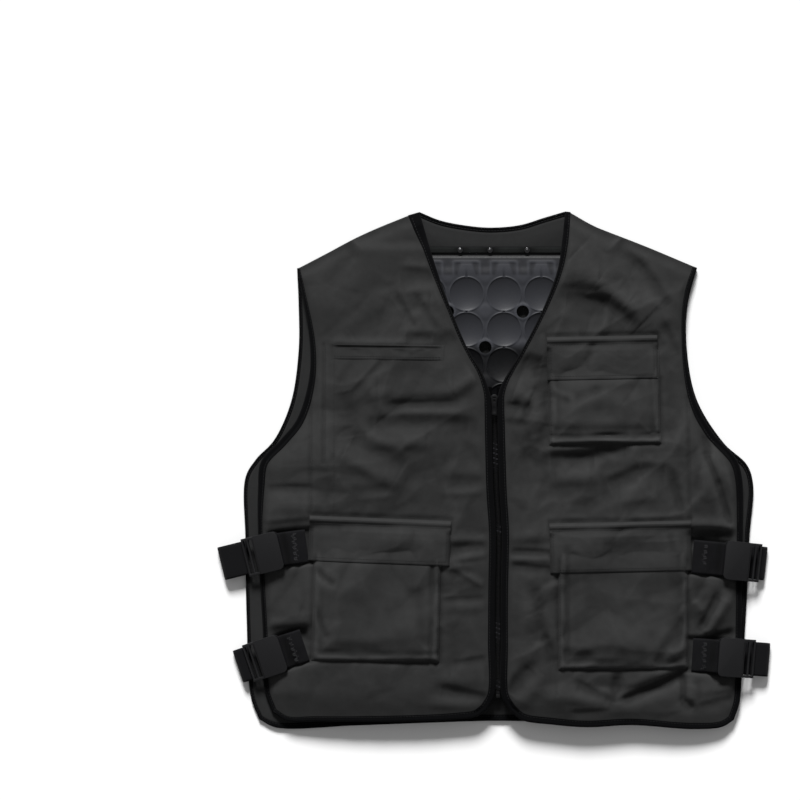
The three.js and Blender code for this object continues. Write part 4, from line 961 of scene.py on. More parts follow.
# %% Relief of the fronts
FOLD_SHARE = {"right": 0.95, "left": 1.5}
FOLD_LEAN, FOLD_REACH = 0.3, 1.05
FACET_HEIGHT = {"right": 5.4 * MM, "left": 8.4 * MM}
SEAM_DEPTH, SEAM_REACH, SHOULDER_SEAM_DROP = 1.1 * MM, 2.4 * MM, 2.4 * MM
PAD_MARGIN, PAD_CLEARANCE, PAD_SOFTNESS = 30 * MM, 1.6 * MM, 0.8 * MM
CREASE_DEPTH, CREASE_REACH = 1.2 * MM, 3.0 * MM
TROUGH_DEPTH, TROUGH_HALF = 4.0 * MM, 24.5 * MM
# Each row: side, a line from x1, y1 to x2, y2, and its depth: the long seams of the side panels
SEAMS = [
    ("right", -0.676, 0.741, -0.678, 0.514, 0.9),
    ("right", -0.730, 0.640, -0.729, 0.420, 0.7),
    ("right", -0.643, 0.741, -0.643, 0.420, 0.0),
    ("left", 0.755, 0.640, 0.762, 0.403, 0.8),
]


def segment_distance(x, y, start, end):
    """Each place's distance from a line between two points, and its share along the line."""
    (ax, ay), (bx, by) = start, end
    dx, dy = bx - ax, by - ay
    t = np.clip(((x - ax) * dx + (y - ay) * dy) / (dx * dx + dy * dy), 0, 1)
    return np.hypot(x - ax - t * dx, y - ay - t * dy), t


def folds_at(side, x, y):
    """A ridge is steep below and gentle above, a crease the other way, as loose cloth hangs."""
    total = np.zeros_like(x)
    for row in RIGHT_FOLDS if side == "right" else LEFT_FOLDS:
        x1, y1, x2, y2, reach = (v / 1000 for v in row[:5])
        height = row[5] / 100
        start, end = place([(x1, y1), (x2, y2)])
        away, share = segment_distance(x, y, start, end)
        run_x, run_y = (end - start) / np.linalg.norm(end - start)
        above = ((y - start[1]) * run_x - (x - start[0]) * run_y) * run_x
        reach = FOLD_REACH * reach * HALF_WIDTH
        lean = FOLD_LEAN * math.copysign(1, height)
        reach = reach * (1 + lean * np.clip(above / reach, -1, 1))
        ends = 0.5 + 0.5 * np.sin(math.pi * share) ** 0.3
        total += FOLD_HEIGHT * height * ends * np.exp(-(away / reach) ** 2)
    return total * FOLD_SHARE[side]


def pocket_creases(side, x, y):
    """Creases along the sewn edges of the pockets."""
    total = np.zeros_like(x)
    for pocket in POCKETS:
        if pocket["side"] != side:
            continue
        half, bag = pocket["flap_width"] * MM / 2, pocket["body_width"] * MM / 2
        deep, low, shift = (pocket[k] * MM for k in ("flap_drop", "body_drop", "body_shift"))
        flap = [(-half, deep), (-half, -1.2 * MM), (half, -1.2 * MM), (half, deep)]
        body = [(shift - bag, deep), (shift - bag, low), (shift + bag, low), (shift + bag, deep)]
        for corners, tilt, at_sides in ((flap, "flap_tilt", 0.6), (body, "body_tilt", 0.9)):
            spots = [pocket_places(pocket, pocket[tilt], *np.array(c)) for c in corners]
            for start, end, depth in zip(spots, spots[1:], (at_sides, 1.0, at_sides)):
                away, _ = segment_distance(x, y, start, end)
                total = np.maximum(total, depth * np.exp(-(away / CREASE_REACH) ** 2))
    return CREASE_DEPTH * total


def strap_troughs(side, x, y):
    """Troughs under the straps, from the pocket's edge outwards."""
    total = np.zeros_like(x)
    for _, strap_side, start, socket, *_ in STRAPS:
        if strap_side == side:
            start, socket = place(start), place(socket)
            ahead = (socket - start) / np.linalg.norm(socket - start)
            along = (x - start[0]) * ahead[0] + (y - start[1]) * ahead[1]
            across = np.abs((y - start[1]) * ahead[0] - (x - start[0]) * ahead[1])
            under = 1 - smoothstep(across, 0.76 * TROUGH_HALF, TROUGH_HALF)
            total += under * smoothstep(along, -14 * MM, -2 * MM)
    return TROUGH_DEPTH * total


def front_height(u, v):
    """Height of the middle of a front sheet, without its folds."""
    ups = [row[0] for row in SECTIONS]
    across = [between(ups, [row[k] for row in SECTIONS], v) for k in range(1, 6)]
    return FRONT_RISE * between(SECTION_PLACES, across, u)


pad_low, pad_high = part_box("cooling_panel")


def above_pad(x, y, z):
    """Keeps the folds above the cooling panel, which lies under both fronts."""
    over_pad = np.minimum(np.minimum(x - pad_low.x, pad_high.x - x),
                          np.minimum(y - pad_low.y, pad_high.y - y))
    least = pad_high.z + CLOTH_THICKNESS / 2 + PAD_CLEARANCE
    least = least * smoothstep(over_pad, -PAD_MARGIN, 4 * MM)
    raised = least + PAD_SOFTNESS * np.logaddexp(0, (z - least) / PAD_SOFTNESS)
    return np.where(over_pad > -PAD_MARGIN, raised, z)


def front_relief(side, u, v, x, y):
    """Height of the middle of a front sheet with its folds, seams and fine waves."""
    seed = 11 if side == "right" else 12
    near = np.minimum(np.minimum(u, 1 - u), np.minimum(v, 1 - v))
    free = 0.25 + 0.75 * smoothstep(near, 0, 0.05)
    waves = (facets(x, y, 58 * MM, seed) + 0.22 * facets(x, y, 21 * MM, seed + 5)
             + 0.05 * crumple(x, y, 9 * MM, seed + 9))
    waves *= 0.4 + 0.6 * smoothstep(near, 0.02, 0.16)
    z = front_height(u, v) + free * (folds_at(side, x, y) + FACET_HEIGHT[side] * waves)
    for name, *row in SEAMS:
        if name == side:
            away, _ = segment_distance(x, y, *place([row[0:2], row[2:4]]))
            z -= SEAM_DEPTH * row[4] * np.exp(-(away / SEAM_REACH) ** 2)
    z -= pocket_creases(side, x, y) * free + strap_troughs(side, x, y) * smoothstep(u, 0.01, 0.07)
    # The edge puckers where the tape is sewn on, and the shoulder seam pulls it down
    pucker = np.sin((x + y) / (5.5 * MM) + 2 * crumple(x, y, 40 * MM, seed + 3))
    ripple = 0.35 * pucker * np.exp(-(near * 0.3) / 0.012)
    z = z + ripple * MM * free - SHOULDER_SEAM_DROP * smoothstep(v, 0.975, 1.0)
    return above_pad(x, y, z)


# %% Widths of the fronts' tape
# Along the opening from the hem up: share of the height, share of the full width
TAPE_SHARES = {
    "right": ([0.0, 0.60, 0.655, 0.71, 0.80, 0.87, 0.93, 0.97, 1.0],
              [1.0, 1.0, 0.6, 0.42, 0.48, 0.7, 0.95, 1.4, 1.65]),
    "left": ([0.0, 0.60, 0.655, 0.71, 0.80, 0.88, 0.94, 1.0],
             [1.0, 1.0, 0.6, 0.42, 0.48, 0.65, 0.85, 0.75]),
}
# Along the outer edge, in the same way
SIDE_TAPE_SHARES = {
    "right": ([0.0, 0.42, 0.52, 0.70, 0.86, 1.0], [0.65, 0.65, 1.0, 1.0, 0.7, 0.4]),
    "left": ([0.0, 0.42, 0.52, 0.68, 0.84, 1.0], [0.85, 0.85, 1.0, 1.0, 0.5, 0.65]),
}


def front_path(outline, up, across):
    hem = smooth_line(place(outline["hem"]), across)
    opening = smooth_line(place(outline["opening"]), up)
    outer = smooth_line(place(outline["side"]), up)
    return np.vstack([outer[::-1], hem[1:], opening[1:]])


def tape_widths(side, up, across):
    """The tape's width for each point of a front's path: it narrows along the neck."""
    along_opening = np.interp(np.linspace(0, 1, up + 1), *TAPE_SHARES[side])
    along_side = np.interp(np.linspace(1, 0, up + 1), *SIDE_TAPE_SHARES[side])
    along_hem = np.linspace(along_side[-1], 1, across + 1)[1:-1]
    return BINDING_WIDTH * np.concatenate([along_side, along_hem, along_opening])


# %% The front sheets and their tape
def front_sheet(side, outline, turn):
    up, across = 284, 142
    path = front_path(outline, up, across)
    sewn, _ = inset(path, tape_widths(side, up, across) * HIDDEN_IN_TAPE, turn)
    outer, hem, opening = sewn[:up + 1][::-1], sewn[up:up + across + 1], sewn[up + across:]
    marks = np.vstack([outer[-1:], place(outline["shoulder"][1:-1]), opening[-1:]])
    middle = span(hem, smooth_line(marks, across), outer, opening)
    z = front_relief(side, *shares(up, across), middle[..., 0], middle[..., 1])
    upper = np.dstack([middle, z + CLOTH_THICKNESS / 2])
    lower = np.dstack([middle, z - CLOTH_THICKNESS / 2])
    piece = sheet_piece(f"{side}_front_cloth", upper, lower, shell_cloth, raised=proud_of(z, 4))
    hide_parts(f"{side}_front_panel")
    return piece


def front_tape(side, outline, turn, cloth):
    """The front's tape follows the cloth's height; returns the front's stitches."""
    up, across = 260, 120
    path = front_path(outline, up, across)
    widths = tape_widths(side, up, across)
    u = np.concatenate([np.zeros(up), np.linspace(0, 1, across + 1), np.ones(up)])
    v = np.concatenate([np.linspace(1, 0, up + 1), np.zeros(across - 1), np.linspace(0, 1, up + 1)])
    heights = front_relief(side, u, v, path[:, 0], path[:, 1])
    heights[v > 0.97] += 0.6 * MM
    inner, _ = inset(path, widths * 1.02, turn)
    rise = drop([tree_of(cloth)], inner, default=-1) - CLOTH_THICKNESS / 2 - heights
    rise = evened(np.clip(rise, -1 * MM, 2.5 * MM), 1)
    stitches = StitchWork(f"{side}_front_stitching")
    tape_piece(f"{side}_front_edge_tape", path, widths, heights, turn, f"{side}_front_binding",
               stitches, rise)
    return stitches


def make_front(side, outline):
    turn = 1 if side == "right" else -1
    cloth = front_sheet(side, outline, turn)
    return cloth, front_tape(side, outline, turn, cloth)


fronts = {"right": make_front("right", RIGHT_OUTLINE), "left": make_front("left", LEFT_OUTLINE)}
front_trees = {side: tree_of(piece) for side, (piece, _) in fronts.items()}
for side, (piece, _) in fronts.items():
    print(side, "front", len(piece.data.polygons), "faces")

# %% [markdown]
# ## Seams of the side panels
# Long seams run down beside the armholes, where the side panels are sewn on. The groove is in
# the relief already, and a row of stitches lies beside each.
# %% Seam stitches
STITCH_OFFSET = 2.6 * MM
for side, *row in SEAMS:
    start, end = place([row[0:2], row[2:4]])
    line = start + (end - start) * np.linspace(0, 1, 120)[:, None] + (STITCH_OFFSET, 0)
    heights = drop([front_trees[side]], line)
    fronts[side][1].row(np.column_stack([line, heights + 0.1 * MM]))

# %% [markdown]
# ## The zip
# A moulded zip: two woven tapes, and on each a row of plastic teeth that lock into the other
# row. The teeth are separate small blocks in real life too, so they are made one by one and
# joined. The slider sits at the top, its pull hangs on it, and a stop ends the chain.
# %% The line of the zip
ZIP_START, ZIP_END = 0.075, 0.660
TAPE_REACH = 15 * MM
TAPE_THICKNESS = 1 * MM
TEETH_WIDTH = 5 * MM
TEETH_THICKNESS = 2.2 * MM
CLEARANCE = 0.3 * MM


def zip_line(steps):
    """Points along the chain, on the CAD tape's underside."""
    right, left = (smooth_line(place([p for p in outline["opening"] if 0.06 < p[1] < 0.67]), 200)
                   for outline in (RIGHT_OUTLINE, LEFT_OUTLINE))
    y = (np.linspace(ZIP_START, ZIP_END, steps + 1) - 0.5) * LENGTH
    x = (np.interp(y, right[:, 1], right[:, 0]) + np.interp(y, left[:, 1], left[:, 0])) / 2
    up = (y / LENGTH + 0.5 - 0.037) / 0.973 * 0.99
    z = front_height(np.ones_like(up), up) - BINDING_THICKNESS / 2 - TAPE_THICKNESS - 2 * CLEARANCE
    return np.column_stack([x, y, z])


zip_middle = zip_line(300)

# %% Zip tapes
def zip_tape(name, near, far, node_name):
    """A flat tape with a bead at the chain; near and far are its edges across."""
    across = np.linspace(near, far, 12)
    base = zip_middle[:, None, :] + np.stack([across, 0 * across, 0 * across], axis=-1)[None]
    bead = 0.5 * MM * np.exp(-((np.abs(across) - abs(near)) / (0.8 * MM)) ** 2)
    run = zip_middle[:, 1:2]
    base[..., 2] += 0.15 * MM * crumple(run + 0 * across, across + 0 * run, 20 * MM, 21)
    upper, lower = base.copy(), base.copy()
    upper[..., 2] += TAPE_THICKNESS + bead
    piece = sheet_piece(name, upper, lower, zip_cloth)
    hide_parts(node_name)


zip_tape("right_tape_of_zip", -TEETH_WIDTH / 2 - CLEARANCE, -TAPE_REACH, "right_zip_tape")
zip_tape("left_tape_of_zip", TEETH_WIDTH / 2 + CLEARANCE, TAPE_REACH, "left_zip_tape")

# %% Zip teeth
TOOTH_PITCH = 2.9 * MM
TOOTH_LENGTH = 1.7 * MM
# The tooth's outline from its root on the tape to its rounded head, in shares of half a chain
TOOTH_OUTLINE = [
    (-1.0, -0.5), (-0.45, -0.5), (-0.2, -0.32), (0.15, -0.5), (0.38, -0.3), (0.42, 0.0),
    (0.38, 0.3), (0.15, 0.5), (-0.2, 0.32), (-0.45, 0.5), (-1.0, 0.5),
]
# Stretches of painted glints on the teeth: middle and half length in shares of the height
GLINT_STRETCHES = [(0.530, 0.024), (0.383, 0.008), (0.190, 0.020), (0.074, 0.018)]
TOOTH_SHADE, GLINT_STRENGTH = 0.03, 7


def tooth(side, x, y, z, glint):
    """Points of one tooth in three levels, and each point's tone with its painted glint."""
    points, tone_and_painted_light = [], []
    for level, shrink in ((-TEETH_THICKNESS, 0.8), (-0.35 * MM, 1.0), (0, 0.75)):
        for a, b in TOOTH_OUTLINE:
            points.append((x - side * (a * shrink if a > -1 else a) * TEETH_WIDTH / 2,
                           y + b * shrink * TOOTH_LENGTH, z + level))
            tone_and_painted_light.append(TOOTH_SHADE + (glint if level == 0 and a < -0.4 else 0))
    return points, tone_and_painted_light


def tooth_faces(side, base):
    size = len(TOOTH_OUTLINE)
    faces = []
    for ring in range(base, base + 2 * size, size):
        for k in range(size):
            a, b = ring + k, ring + (k + 1) % size
            faces.append((a, b, b + size, a + size))
    cap = [base + k for k in range(size)]
    faces += [tuple(cap[::-1]), tuple(c + 2 * size for c in cap)]
    return faces if side < 0 else [f[::-1] for f in faces]


def make_teeth():
    points, faces, tone_and_painted_light = [], [], []
    top_y = zip_middle[-1, 1] - (zip_middle[-1, 1] - zip_middle[0, 1]) / 32
    count = int((top_y - zip_middle[0, 1]) / TOOTH_PITCH)
    for n in range(count):
        for side in (-1, 1):
            y = zip_middle[0, 1] + TOOTH_PITCH * (n + (0.25 if side > 0 else 0.75))
            x, z = (np.interp(y, zip_middle[:, 1], zip_middle[:, k]) for k in (0, 2))
            shine = sum(math.exp(-((y / LENGTH + 0.5 - at) / half) ** 4) for at, half in GLINT_STRETCHES)
            z += TAPE_THICKNESS + CLEARANCE
            faces += tooth_faces(side, len(points))
            more, shift_with_painted_light = tooth(side, x, y, z, GLINT_STRENGTH * shine * (n % 2))
            points += more
            tone_and_painted_light += shift_with_painted_light
    piece = make_piece("teeth_of_zip", points, faces, teeth_plastic, raised=tone_and_painted_light)
    piece.data.shade_flat()
    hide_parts("zip_teeth")
    print("zip teeth", 2 * count)


make_teeth()

# %% [markdown]
# ## Hard small parts
# The slider, pull, stop and buckles are moulded or cast. They start as a flat outline drawn out
# to a thickness, get their openings cut, and then a bevel rounds every edge, because a sharp
# edge never catches the light as a real one does.
# %% Extruded outlines, cuts and bevels
def prism(name, outline, low, high):
    """A closed solid over an outline, in millimetres."""
    count = len(outline)
    points = [(x * MM, y * MM, z * MM) for z in (low, high) for x, y in outline]
    faces = [tuple(range(count))[::-1], tuple(range(count, 2 * count))]
    faces += [(k, (k + 1) % count, (k + 1) % count + count, k + count) for k in range(count)]
    mesh = bpy.data.meshes.new(name)
    mesh.from_pydata(points, [], faces)
    area = sum(x1 * y2 - x2 * y1 for (x1, y1), (x2, y2) in zip(outline, outline[1:] + outline[:1]))
    if area < 0:
        mesh.flip_normals()
    solid = bpy.data.objects.new(name, mesh)
    scene.collection.objects.link(solid)
    return solid


def block(x0, x1, y0, y1, z0, z1):
    return prism("tool", [(x0, y0), (x1, y0), (x1, y1), (x0, y1)], z0, z1)


def apply_modifiers(solid):
    evaluated = solid.evaluated_get(bpy.context.evaluated_depsgraph_get())
    mesh = bpy.data.meshes.new_from_object(evaluated)
    solid.modifiers.clear()
    solid.data = mesh


def combine(solid, tools, operation="DIFFERENCE"):
    for tool in tools:
        cutter = solid.modifiers.new("cut", "BOOLEAN")
        cutter.operation, cutter.solver, cutter.object = operation, "EXACT", tool
    apply_modifiers(solid)
    for tool in tools:
        bpy.data.objects.remove(tool)
    return solid


def bevelled(solid, width, segments=2, angle=28):
    bevel = solid.modifiers.new("bevel", "BEVEL")
    bevel.width, bevel.segments = width * MM, segments
    bevel.limit_method, bevel.angle_limit = "ANGLE", math.radians(angle)
    bevel.use_clamp_overlap = True
    apply_modifiers(solid)
    return solid


def settled(name, solid, matrix, material, node_name):
    """A finished hard piece, moved to its place, with its CAD node hidden."""
    mesh = solid.data.copy()
    bpy.data.objects.remove(solid)
    mesh.name = name
    mesh.transform(matrix)
    mesh.materials.clear()
    mesh.materials.append(material)
    mesh.shade_smooth()
    mesh.set_sharp_from_angle(angle=math.radians(35))
    piece = bpy.data.objects.new(name, mesh)
    scene.collection.objects.link(piece)
    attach(piece, "root")
    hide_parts(node_name)
    return piece


# %% Slider, pull and stop
SLIDER_WIDTH, SLIDER_LENGTH, PULL_LENGTH = 9, 13, 20
slider_low, slider_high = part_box("zip_slider")
slider_x = (slider_low.x + slider_high.x) / 2 / MM
slider_top_y = slider_high.y / MM - 0.15 * SLIDER_LENGTH
pull_low, pull_high = (c.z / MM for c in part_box("zip_pull"))


def made_in_metal(name, solid, bevel, x, y, node_name):
    bevelled(solid, bevel)
    settled(name, solid, Matrix.Translation((x, y, 0)), dark_metal, node_name)


half, long = SLIDER_WIDTH / 2, SLIDER_LENGTH
slider = prism("slider", [(-half, 0), (-half * 0.85, -3), (-half * 0.62, -long),
                          (half * 0.62, -long), (half * 0.85, -3), (half, 0),
                          (half * 0.4, long * 0.15), (-half * 0.4, long * 0.15)],
               slider_low.z / MM, slider_high.z / MM)
dent = block(-half * 0.3, half * 0.3, -long * 0.75, -long * 0.1,
             slider_high.z / MM - 0.7, slider_high.z / MM + 1)
made_in_metal("slider_of_zip", combine(slider, [dent]), 0.5,
              slider_x * MM, slider_top_y * MM, "zip_slider")

half, long = SLIDER_WIDTH * 0.25, PULL_LENGTH
pull = prism("pull", [(-half, 0), (-half * 0.8, -5), (-half * 1.4, -long + 2), (-half, -long),
                      (half, -long), (half * 1.4, -long + 2), (half * 0.8, -5), (half, 0)],
             pull_low, pull_high)
eye = block(-half * 0.5, half * 0.5, -4, -1.2, pull_low - 1, pull_high + 1)
grip = block(-half * 0.7, half * 0.7, -long + 2.4, -long + 10, pull_high - 0.45, pull_high + 1)
made_in_metal("pull_of_zip", combine(pull, [eye, grip]), 0.3,
              slider_x * MM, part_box("zip_pull")[1].y, "zip_pull")

x0, y0, z0, x1, y1, z1 = (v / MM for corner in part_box("zip_end_stop") for v in corner)
groove = block(x0 - 1, x1 + 1, y1 - 5.4, y1 - 4.7, z1 - 0.5, z1 + 1)
made_in_metal("end_stop_of_zip", combine(block(x0, x1, y0, y1, z0, z1), [groove]), 0.5,
              0, 0, "zip_end_stop")
print("zip hardware made")

# %% [markdown]
# ## Patch pockets
# A patch pocket is a cloth bag sewn on by its edges: the sides and the bottom turn down to the
# panel, and a narrow roll runs inside each edge where the folded cloth is thick. The flap is
# sewn along its top, where it rolls over its own seam, and drops over the pocket's mouth.
# %% Folds of the pockets
BODY_FOLDS = {
    "right_lower": [
        (-70, 66, -54, 78, 5, -1.6), (-74, 110, -60, 140, 5, -1.2), (10, 150, 60, 146, 9, -1.0),
        (48, 90, 58, 150, 9, -1.3), (-40, 155, 0, 156, 7, -0.9), (-60, 80, -20, 86, 12, 0.9),
    ],
    "left_lower": [
        (-70, 158, -44, 160, 8, -2.6), (-40, 166, 30, 167, 6, 0.9), (44, 160, 68, 120, 8, -1.5),
        (50, 166, 74, 150, 6, 1.4), (-30, 152, 20, 154, 9, -1.2), (26, 92, 34, 104, 7, -0.9),
        (-50, 80, -10, 90, 12, 0.9),
    ],
    "left_chest": [
        (-66, 62, -40, 74, 5, 1.1), (-44, 76, -10, 66, 7, -1.3), (-10, 66, 40, 60, 8, -1.1),
        (-10, 90, -30, 108, 10, -0.8), (20, 84, 56, 92, 12, 0.9), (-60, 112, 60, 113, 6, -1.2),
    ],
}
FLAP_FOLDS = {
    "right_lower": [
        (10, 24, 60, 30, 9, 0.9), (-20, 40, 20, 44, 8, -0.8), (-80, 14, -50, 15, 5, -0.9),
    ],
    "left_lower": [
        (-64, 34, -46, 58, 6, -0.8), (-54, 32, -36, 50, 6, 0.7), (-8, 52, 76, 50, 5, -1.1),
        (-16, 30, -14, 52, 7, -0.8), (60, 20, 62, 36, 5, -0.9), (-10, 44, 60, 43, 6, 1.0),
    ],
    "left_chest": [
        (-12, 12, -24, 44, 5, -1.3), (-34, 20, -50, 40, 9, 0.8), (6, 22, 30, 26, 10, 0.8),
        (-60, 44, -20, 46, 5, -0.8),
    ],
}

# %% Pocket bags
def eased(count):
    """Places from 0 to 1 that lie closer together at both ends."""
    even = np.linspace(0, 1, count)
    return (1 - np.cos(math.pi * even)) / 2 * 0.35 + even * 0.65


def edge_rolls(pocket, left, right, bottom, near, x, y):
    """The thick rolls inside the sewn edges, with a groove inside each."""
    total = 0
    wander = 0.65 + 0.5 * crumple(x, y, 30 * MM, 33)
    for edge, away in (("left", left), ("right", right), ("bottom", bottom)):
        roll = 0.9 * np.exp(-((away - 4.5 * MM) / (2.6 * MM)) ** 2)
        groove = 1.7 * np.exp(-((away - 11 * MM) / (3.4 * MM)) ** 2)
        amount = pocket[f"roll_{edge}"] * MM * smoothstep(near, 0, 3 * MM)
        total = total + wander * amount * (roll - groove)
    return total


def make_pouch(pocket):
    tree = front_trees[pocket["side"]]
    half, long = pocket["body_width"] * MM / 2, pocket["body_drop"] * MM
    across, down = np.meshgrid((eased(84) * 2 - 1) * half, long - eased(84) * (long - MOUTH_DROP))
    spots = pocket_places(pocket, pocket["body_tilt"], pocket["body_shift"] * MM + across, down)
    x, y = spots[..., 0], spots[..., 1]
    ground = drop([tree], spots)
    left, right, bottom = across + half, half - across, long - down
    near = np.minimum(np.minimum(left, right), bottom)
    smooth_ground = blurred(blurred(ground, 7), 7)
    ground = ground + (smooth_ground - ground) * smoothstep(near, 2 * MM, 14 * MM)
    wall = 1 - np.exp(-(near / (2.2 * MM)) ** 1.4)
    crown = 2 * MM * np.sin(math.pi * np.clip(left / (2 * half), 0, 1))
    crown *= smoothstep(near, 0, 30 * MM)
    mouth = 0.15 + 0.85 * smoothstep(down, 18 * MM, 60 * MM)
    full = (POCKET_DEPTH - 1.2 * MM) * wall * (0.42 + 0.58 * smoothstep(near, 0, 32 * MM))
    rise = mouth * (full + crown) + edge_rolls(pocket, left, right, bottom, near, x, y)
    inside = smoothstep(near, 0, 8 * MM) * smoothstep(down, 20 * MM, 45 * MM)
    rise += inside * (1.35 * local_folds(BODY_FOLDS[pocket["name"]], across, down)
                      + MM * (2.8 * facets(x, y, 36 * MM, 31) + 0.4 * crumple(x, y, 12 * MM, 32)))
    z = ground + np.maximum(rise, 0)
    upper = np.dstack([spots, z + 0.2 * MM])
    lower = np.dstack([spots, np.minimum(z + 0.2 * MM, z - POCKET_WALL * wall)])
    piece = sheet_piece(f"{pocket['name']}_pocket_bag", upper, lower, shell_cloth,
                        raised=proud_of(z, 4, 0.6 * MM) + 0.5)
    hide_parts(f"{pocket['name']}_pocket")
    return piece


# %% Pocket flaps
# The flap from its sewn top edge down: place in shares of its drop, height above the panel in mm
FLAP_STOPS = [0, 1.2, 3.2, 5.6, 8.2, 10.4, 16, 24, 34, 45]
FLAP_RISES = [0.4, 2.6, 4.9, 4.9, 3.5, 3.6, 4.2, 4.9, 5.2, 5.0]
END_DROOP = 3.2 * MM


def make_flap(pocket, bag):
    half, long = pocket["flap_width"] * MM / 2, pocket["flap_drop"] * MM
    across, down = np.meshgrid(np.linspace(-1, 1, 90) * half, np.linspace(0, 1, 64) ** 1.25 * long)
    spots = pocket_places(pocket, pocket["flap_tilt"], across, down)
    x, y = spots[..., 0], spots[..., 1]
    ground = blurred(blurred(drop([front_trees[pocket["side"]]], spots), 6), 6)
    rise = np.interp(down / MM, FLAP_STOPS, FLAP_RISES) * MM
    end = half - np.abs(across)
    over_bag = smoothstep(down, 10 * MM, 18 * MM)
    droop = END_DROOP * np.exp(-(end / (4.5 * MM)) ** 1.5)
    rise += over_bag * (2 * MM * np.cos(across / half * math.pi / 2) - droop)
    rise += smoothstep(down, 5 * MM, 12 * MM) * (
        1.3 * local_folds(FLAP_FOLDS[pocket["name"]], across, down)
        + MM * 1.8 * facets(x, y, 27 * MM, 41) + MM * 0.3 * crumple(x, y, 11 * MM, 42))
    border = np.minimum(end, long - down)
    rise -= 0.18 * MM * np.exp(-((border - 4.5 * MM) / (0.9 * MM)) ** 2) * over_bag
    clear_of_bag = drop([tree_of(bag)], spots, default=0) + FLAP_THICKNESS + 0.15 * MM
    z = np.maximum(ground + rise, clear_of_bag)
    hem = np.exp(-(border / (1.3 * MM)) ** 2) * over_bag
    upper = np.dstack([spots, z - 0.8 * MM * hem])
    lower = np.dstack([spots, z - FLAP_THICKNESS])
    piece = sheet_piece(f"{pocket['name']}_pocket_flap", upper, lower, shell_cloth,
                        raised=proud_of(z, 3, 0.6 * MM))
    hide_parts(f"{pocket['name']}_flap")
    return piece


# %% Pockets and their stitches
THREAD_LIFT = 0.12 * MM


def sew_round(stitches, piece, pocket, tilt, shift, corners):
    """Stitches along corners in millimetres, lying on a piece of a pocket."""
    line = spaced(np.array(corners) * MM, 260)
    spots = pocket_places(pocket, tilt, line[:, 0] + shift * MM, line[:, 1])
    stitches.row(np.column_stack([spots, drop([tree_of(piece)], spots) + THREAD_LIFT]))


for pocket in POCKETS:
    bag = make_pouch(pocket)
    flap = make_flap(pocket, bag)
    stitches = fronts[pocket["side"]][1]
    half, low = pocket["flap_width"] / 2, pocket["flap_drop"] - 4.5
    sew_round(stitches, flap, pocket, pocket["flap_tilt"], 0,
              [(-half + 4.5, 12), (-half + 4.5, low), (half - 4.5, low), (half - 4.5, 12)])
    sew_round(stitches, flap, pocket, pocket["flap_tilt"], 0, [(-half + 3, 9.2), (half - 3, 9.2)])
    half, low = pocket["body_width"] / 2, pocket["body_drop"] - 3
    sew_round(stitches, bag, pocket, pocket["body_tilt"], pocket["body_shift"],
              [(-half + 3, 62), (-half + 3, low), (half - 3, low), (half - 3, 62)])
    print(pocket["name"], "pocket made")

# %% The welt of the set-in chest pocket
WELT = dict(side="right", x=-0.422, y=0.7265, tilt=-0.9, width=135, height=19)
# The welt from its top down: place in mm and height above the panel, with the slit between lips
WELT_STOPS = [0, 0.5, 1.7, 2.1, 2.4, 4.4, 4.8, 6.2, 9, 15, 18, 19]
WELT_RISES = [0.1, 0.4, 1.1, 1.1, 0.6, 0.6, 1.0, 1.2, 1.1, 0.8, 0.5, 0.15]


WELT_FOLDS = [(-40, -2, -20, 5, 4, -0.5), (10, -3, 26, 3, 4, -0.6), (30, 2, 40, -3, 3.5, -0.5),
              (48, -1, 60, 4, 4, 0.4)]


def make_welt():
    width, height = WELT["width"] * MM, WELT["height"] * MM
    across, down = np.meshgrid(np.linspace(-0.5, 0.5, 100) * width, np.linspace(0, 1, 58) * height)
    down -= height / 2
    depth = down / MM + WELT["height"] / 2
    spots = pocket_places(WELT, WELT["tilt"], across, down)
    ground = blurred(drop([front_trees["right"]], spots), 2)
    end = width / 2 - np.abs(across)
    rise = np.interp(depth, WELT_STOPS, WELT_RISES) * MM * smoothstep(end, -1 * MM, 12 * MM)
    rise += smoothstep(down, -5 * MM, -2 * MM) * local_folds(WELT_FOLDS, across, down)
    z = ground + np.maximum(rise, 0.1 * MM)
    border = np.minimum(np.minimum(down + height / 2, height / 2 - down), end)
    z += 0.15 * MM * smoothstep(border, 0, 3 * MM) - 0.1 * MM * (1 - smoothstep(border, 0, 1 * MM))
    upper, lower = np.dstack([spots, z]), np.dstack([spots, np.minimum(ground, z - 0.1 * MM)])
    # The slit between the lips is painted dark, as a painted shadow
    slit = np.exp(-((depth - 2.9) / 2.4) ** 2) * smoothstep(end, 0, 10 * MM)
    slit *= 0.55 + 0.45 * smoothstep(-across, -40 * MM, 10 * MM)
    piece = sheet_piece("right_chest_pocket_welt", upper, lower, shell_cloth,
                        raised=proud_of(z, 3, 0.6 * MM) - 3.3 * slit)
    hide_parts("right_chest_welt")
    tree = tree_of(piece)
    for level in (5.2, 7.6):
        spots = pocket_places(WELT, WELT["tilt"], np.linspace(-0.48, 0.48, 200) * width,
                              np.full(200, level * MM))
        fronts["right"][1].row(np.column_stack([spots, drop([tree], spots) + THREAD_LIFT]))


make_welt()

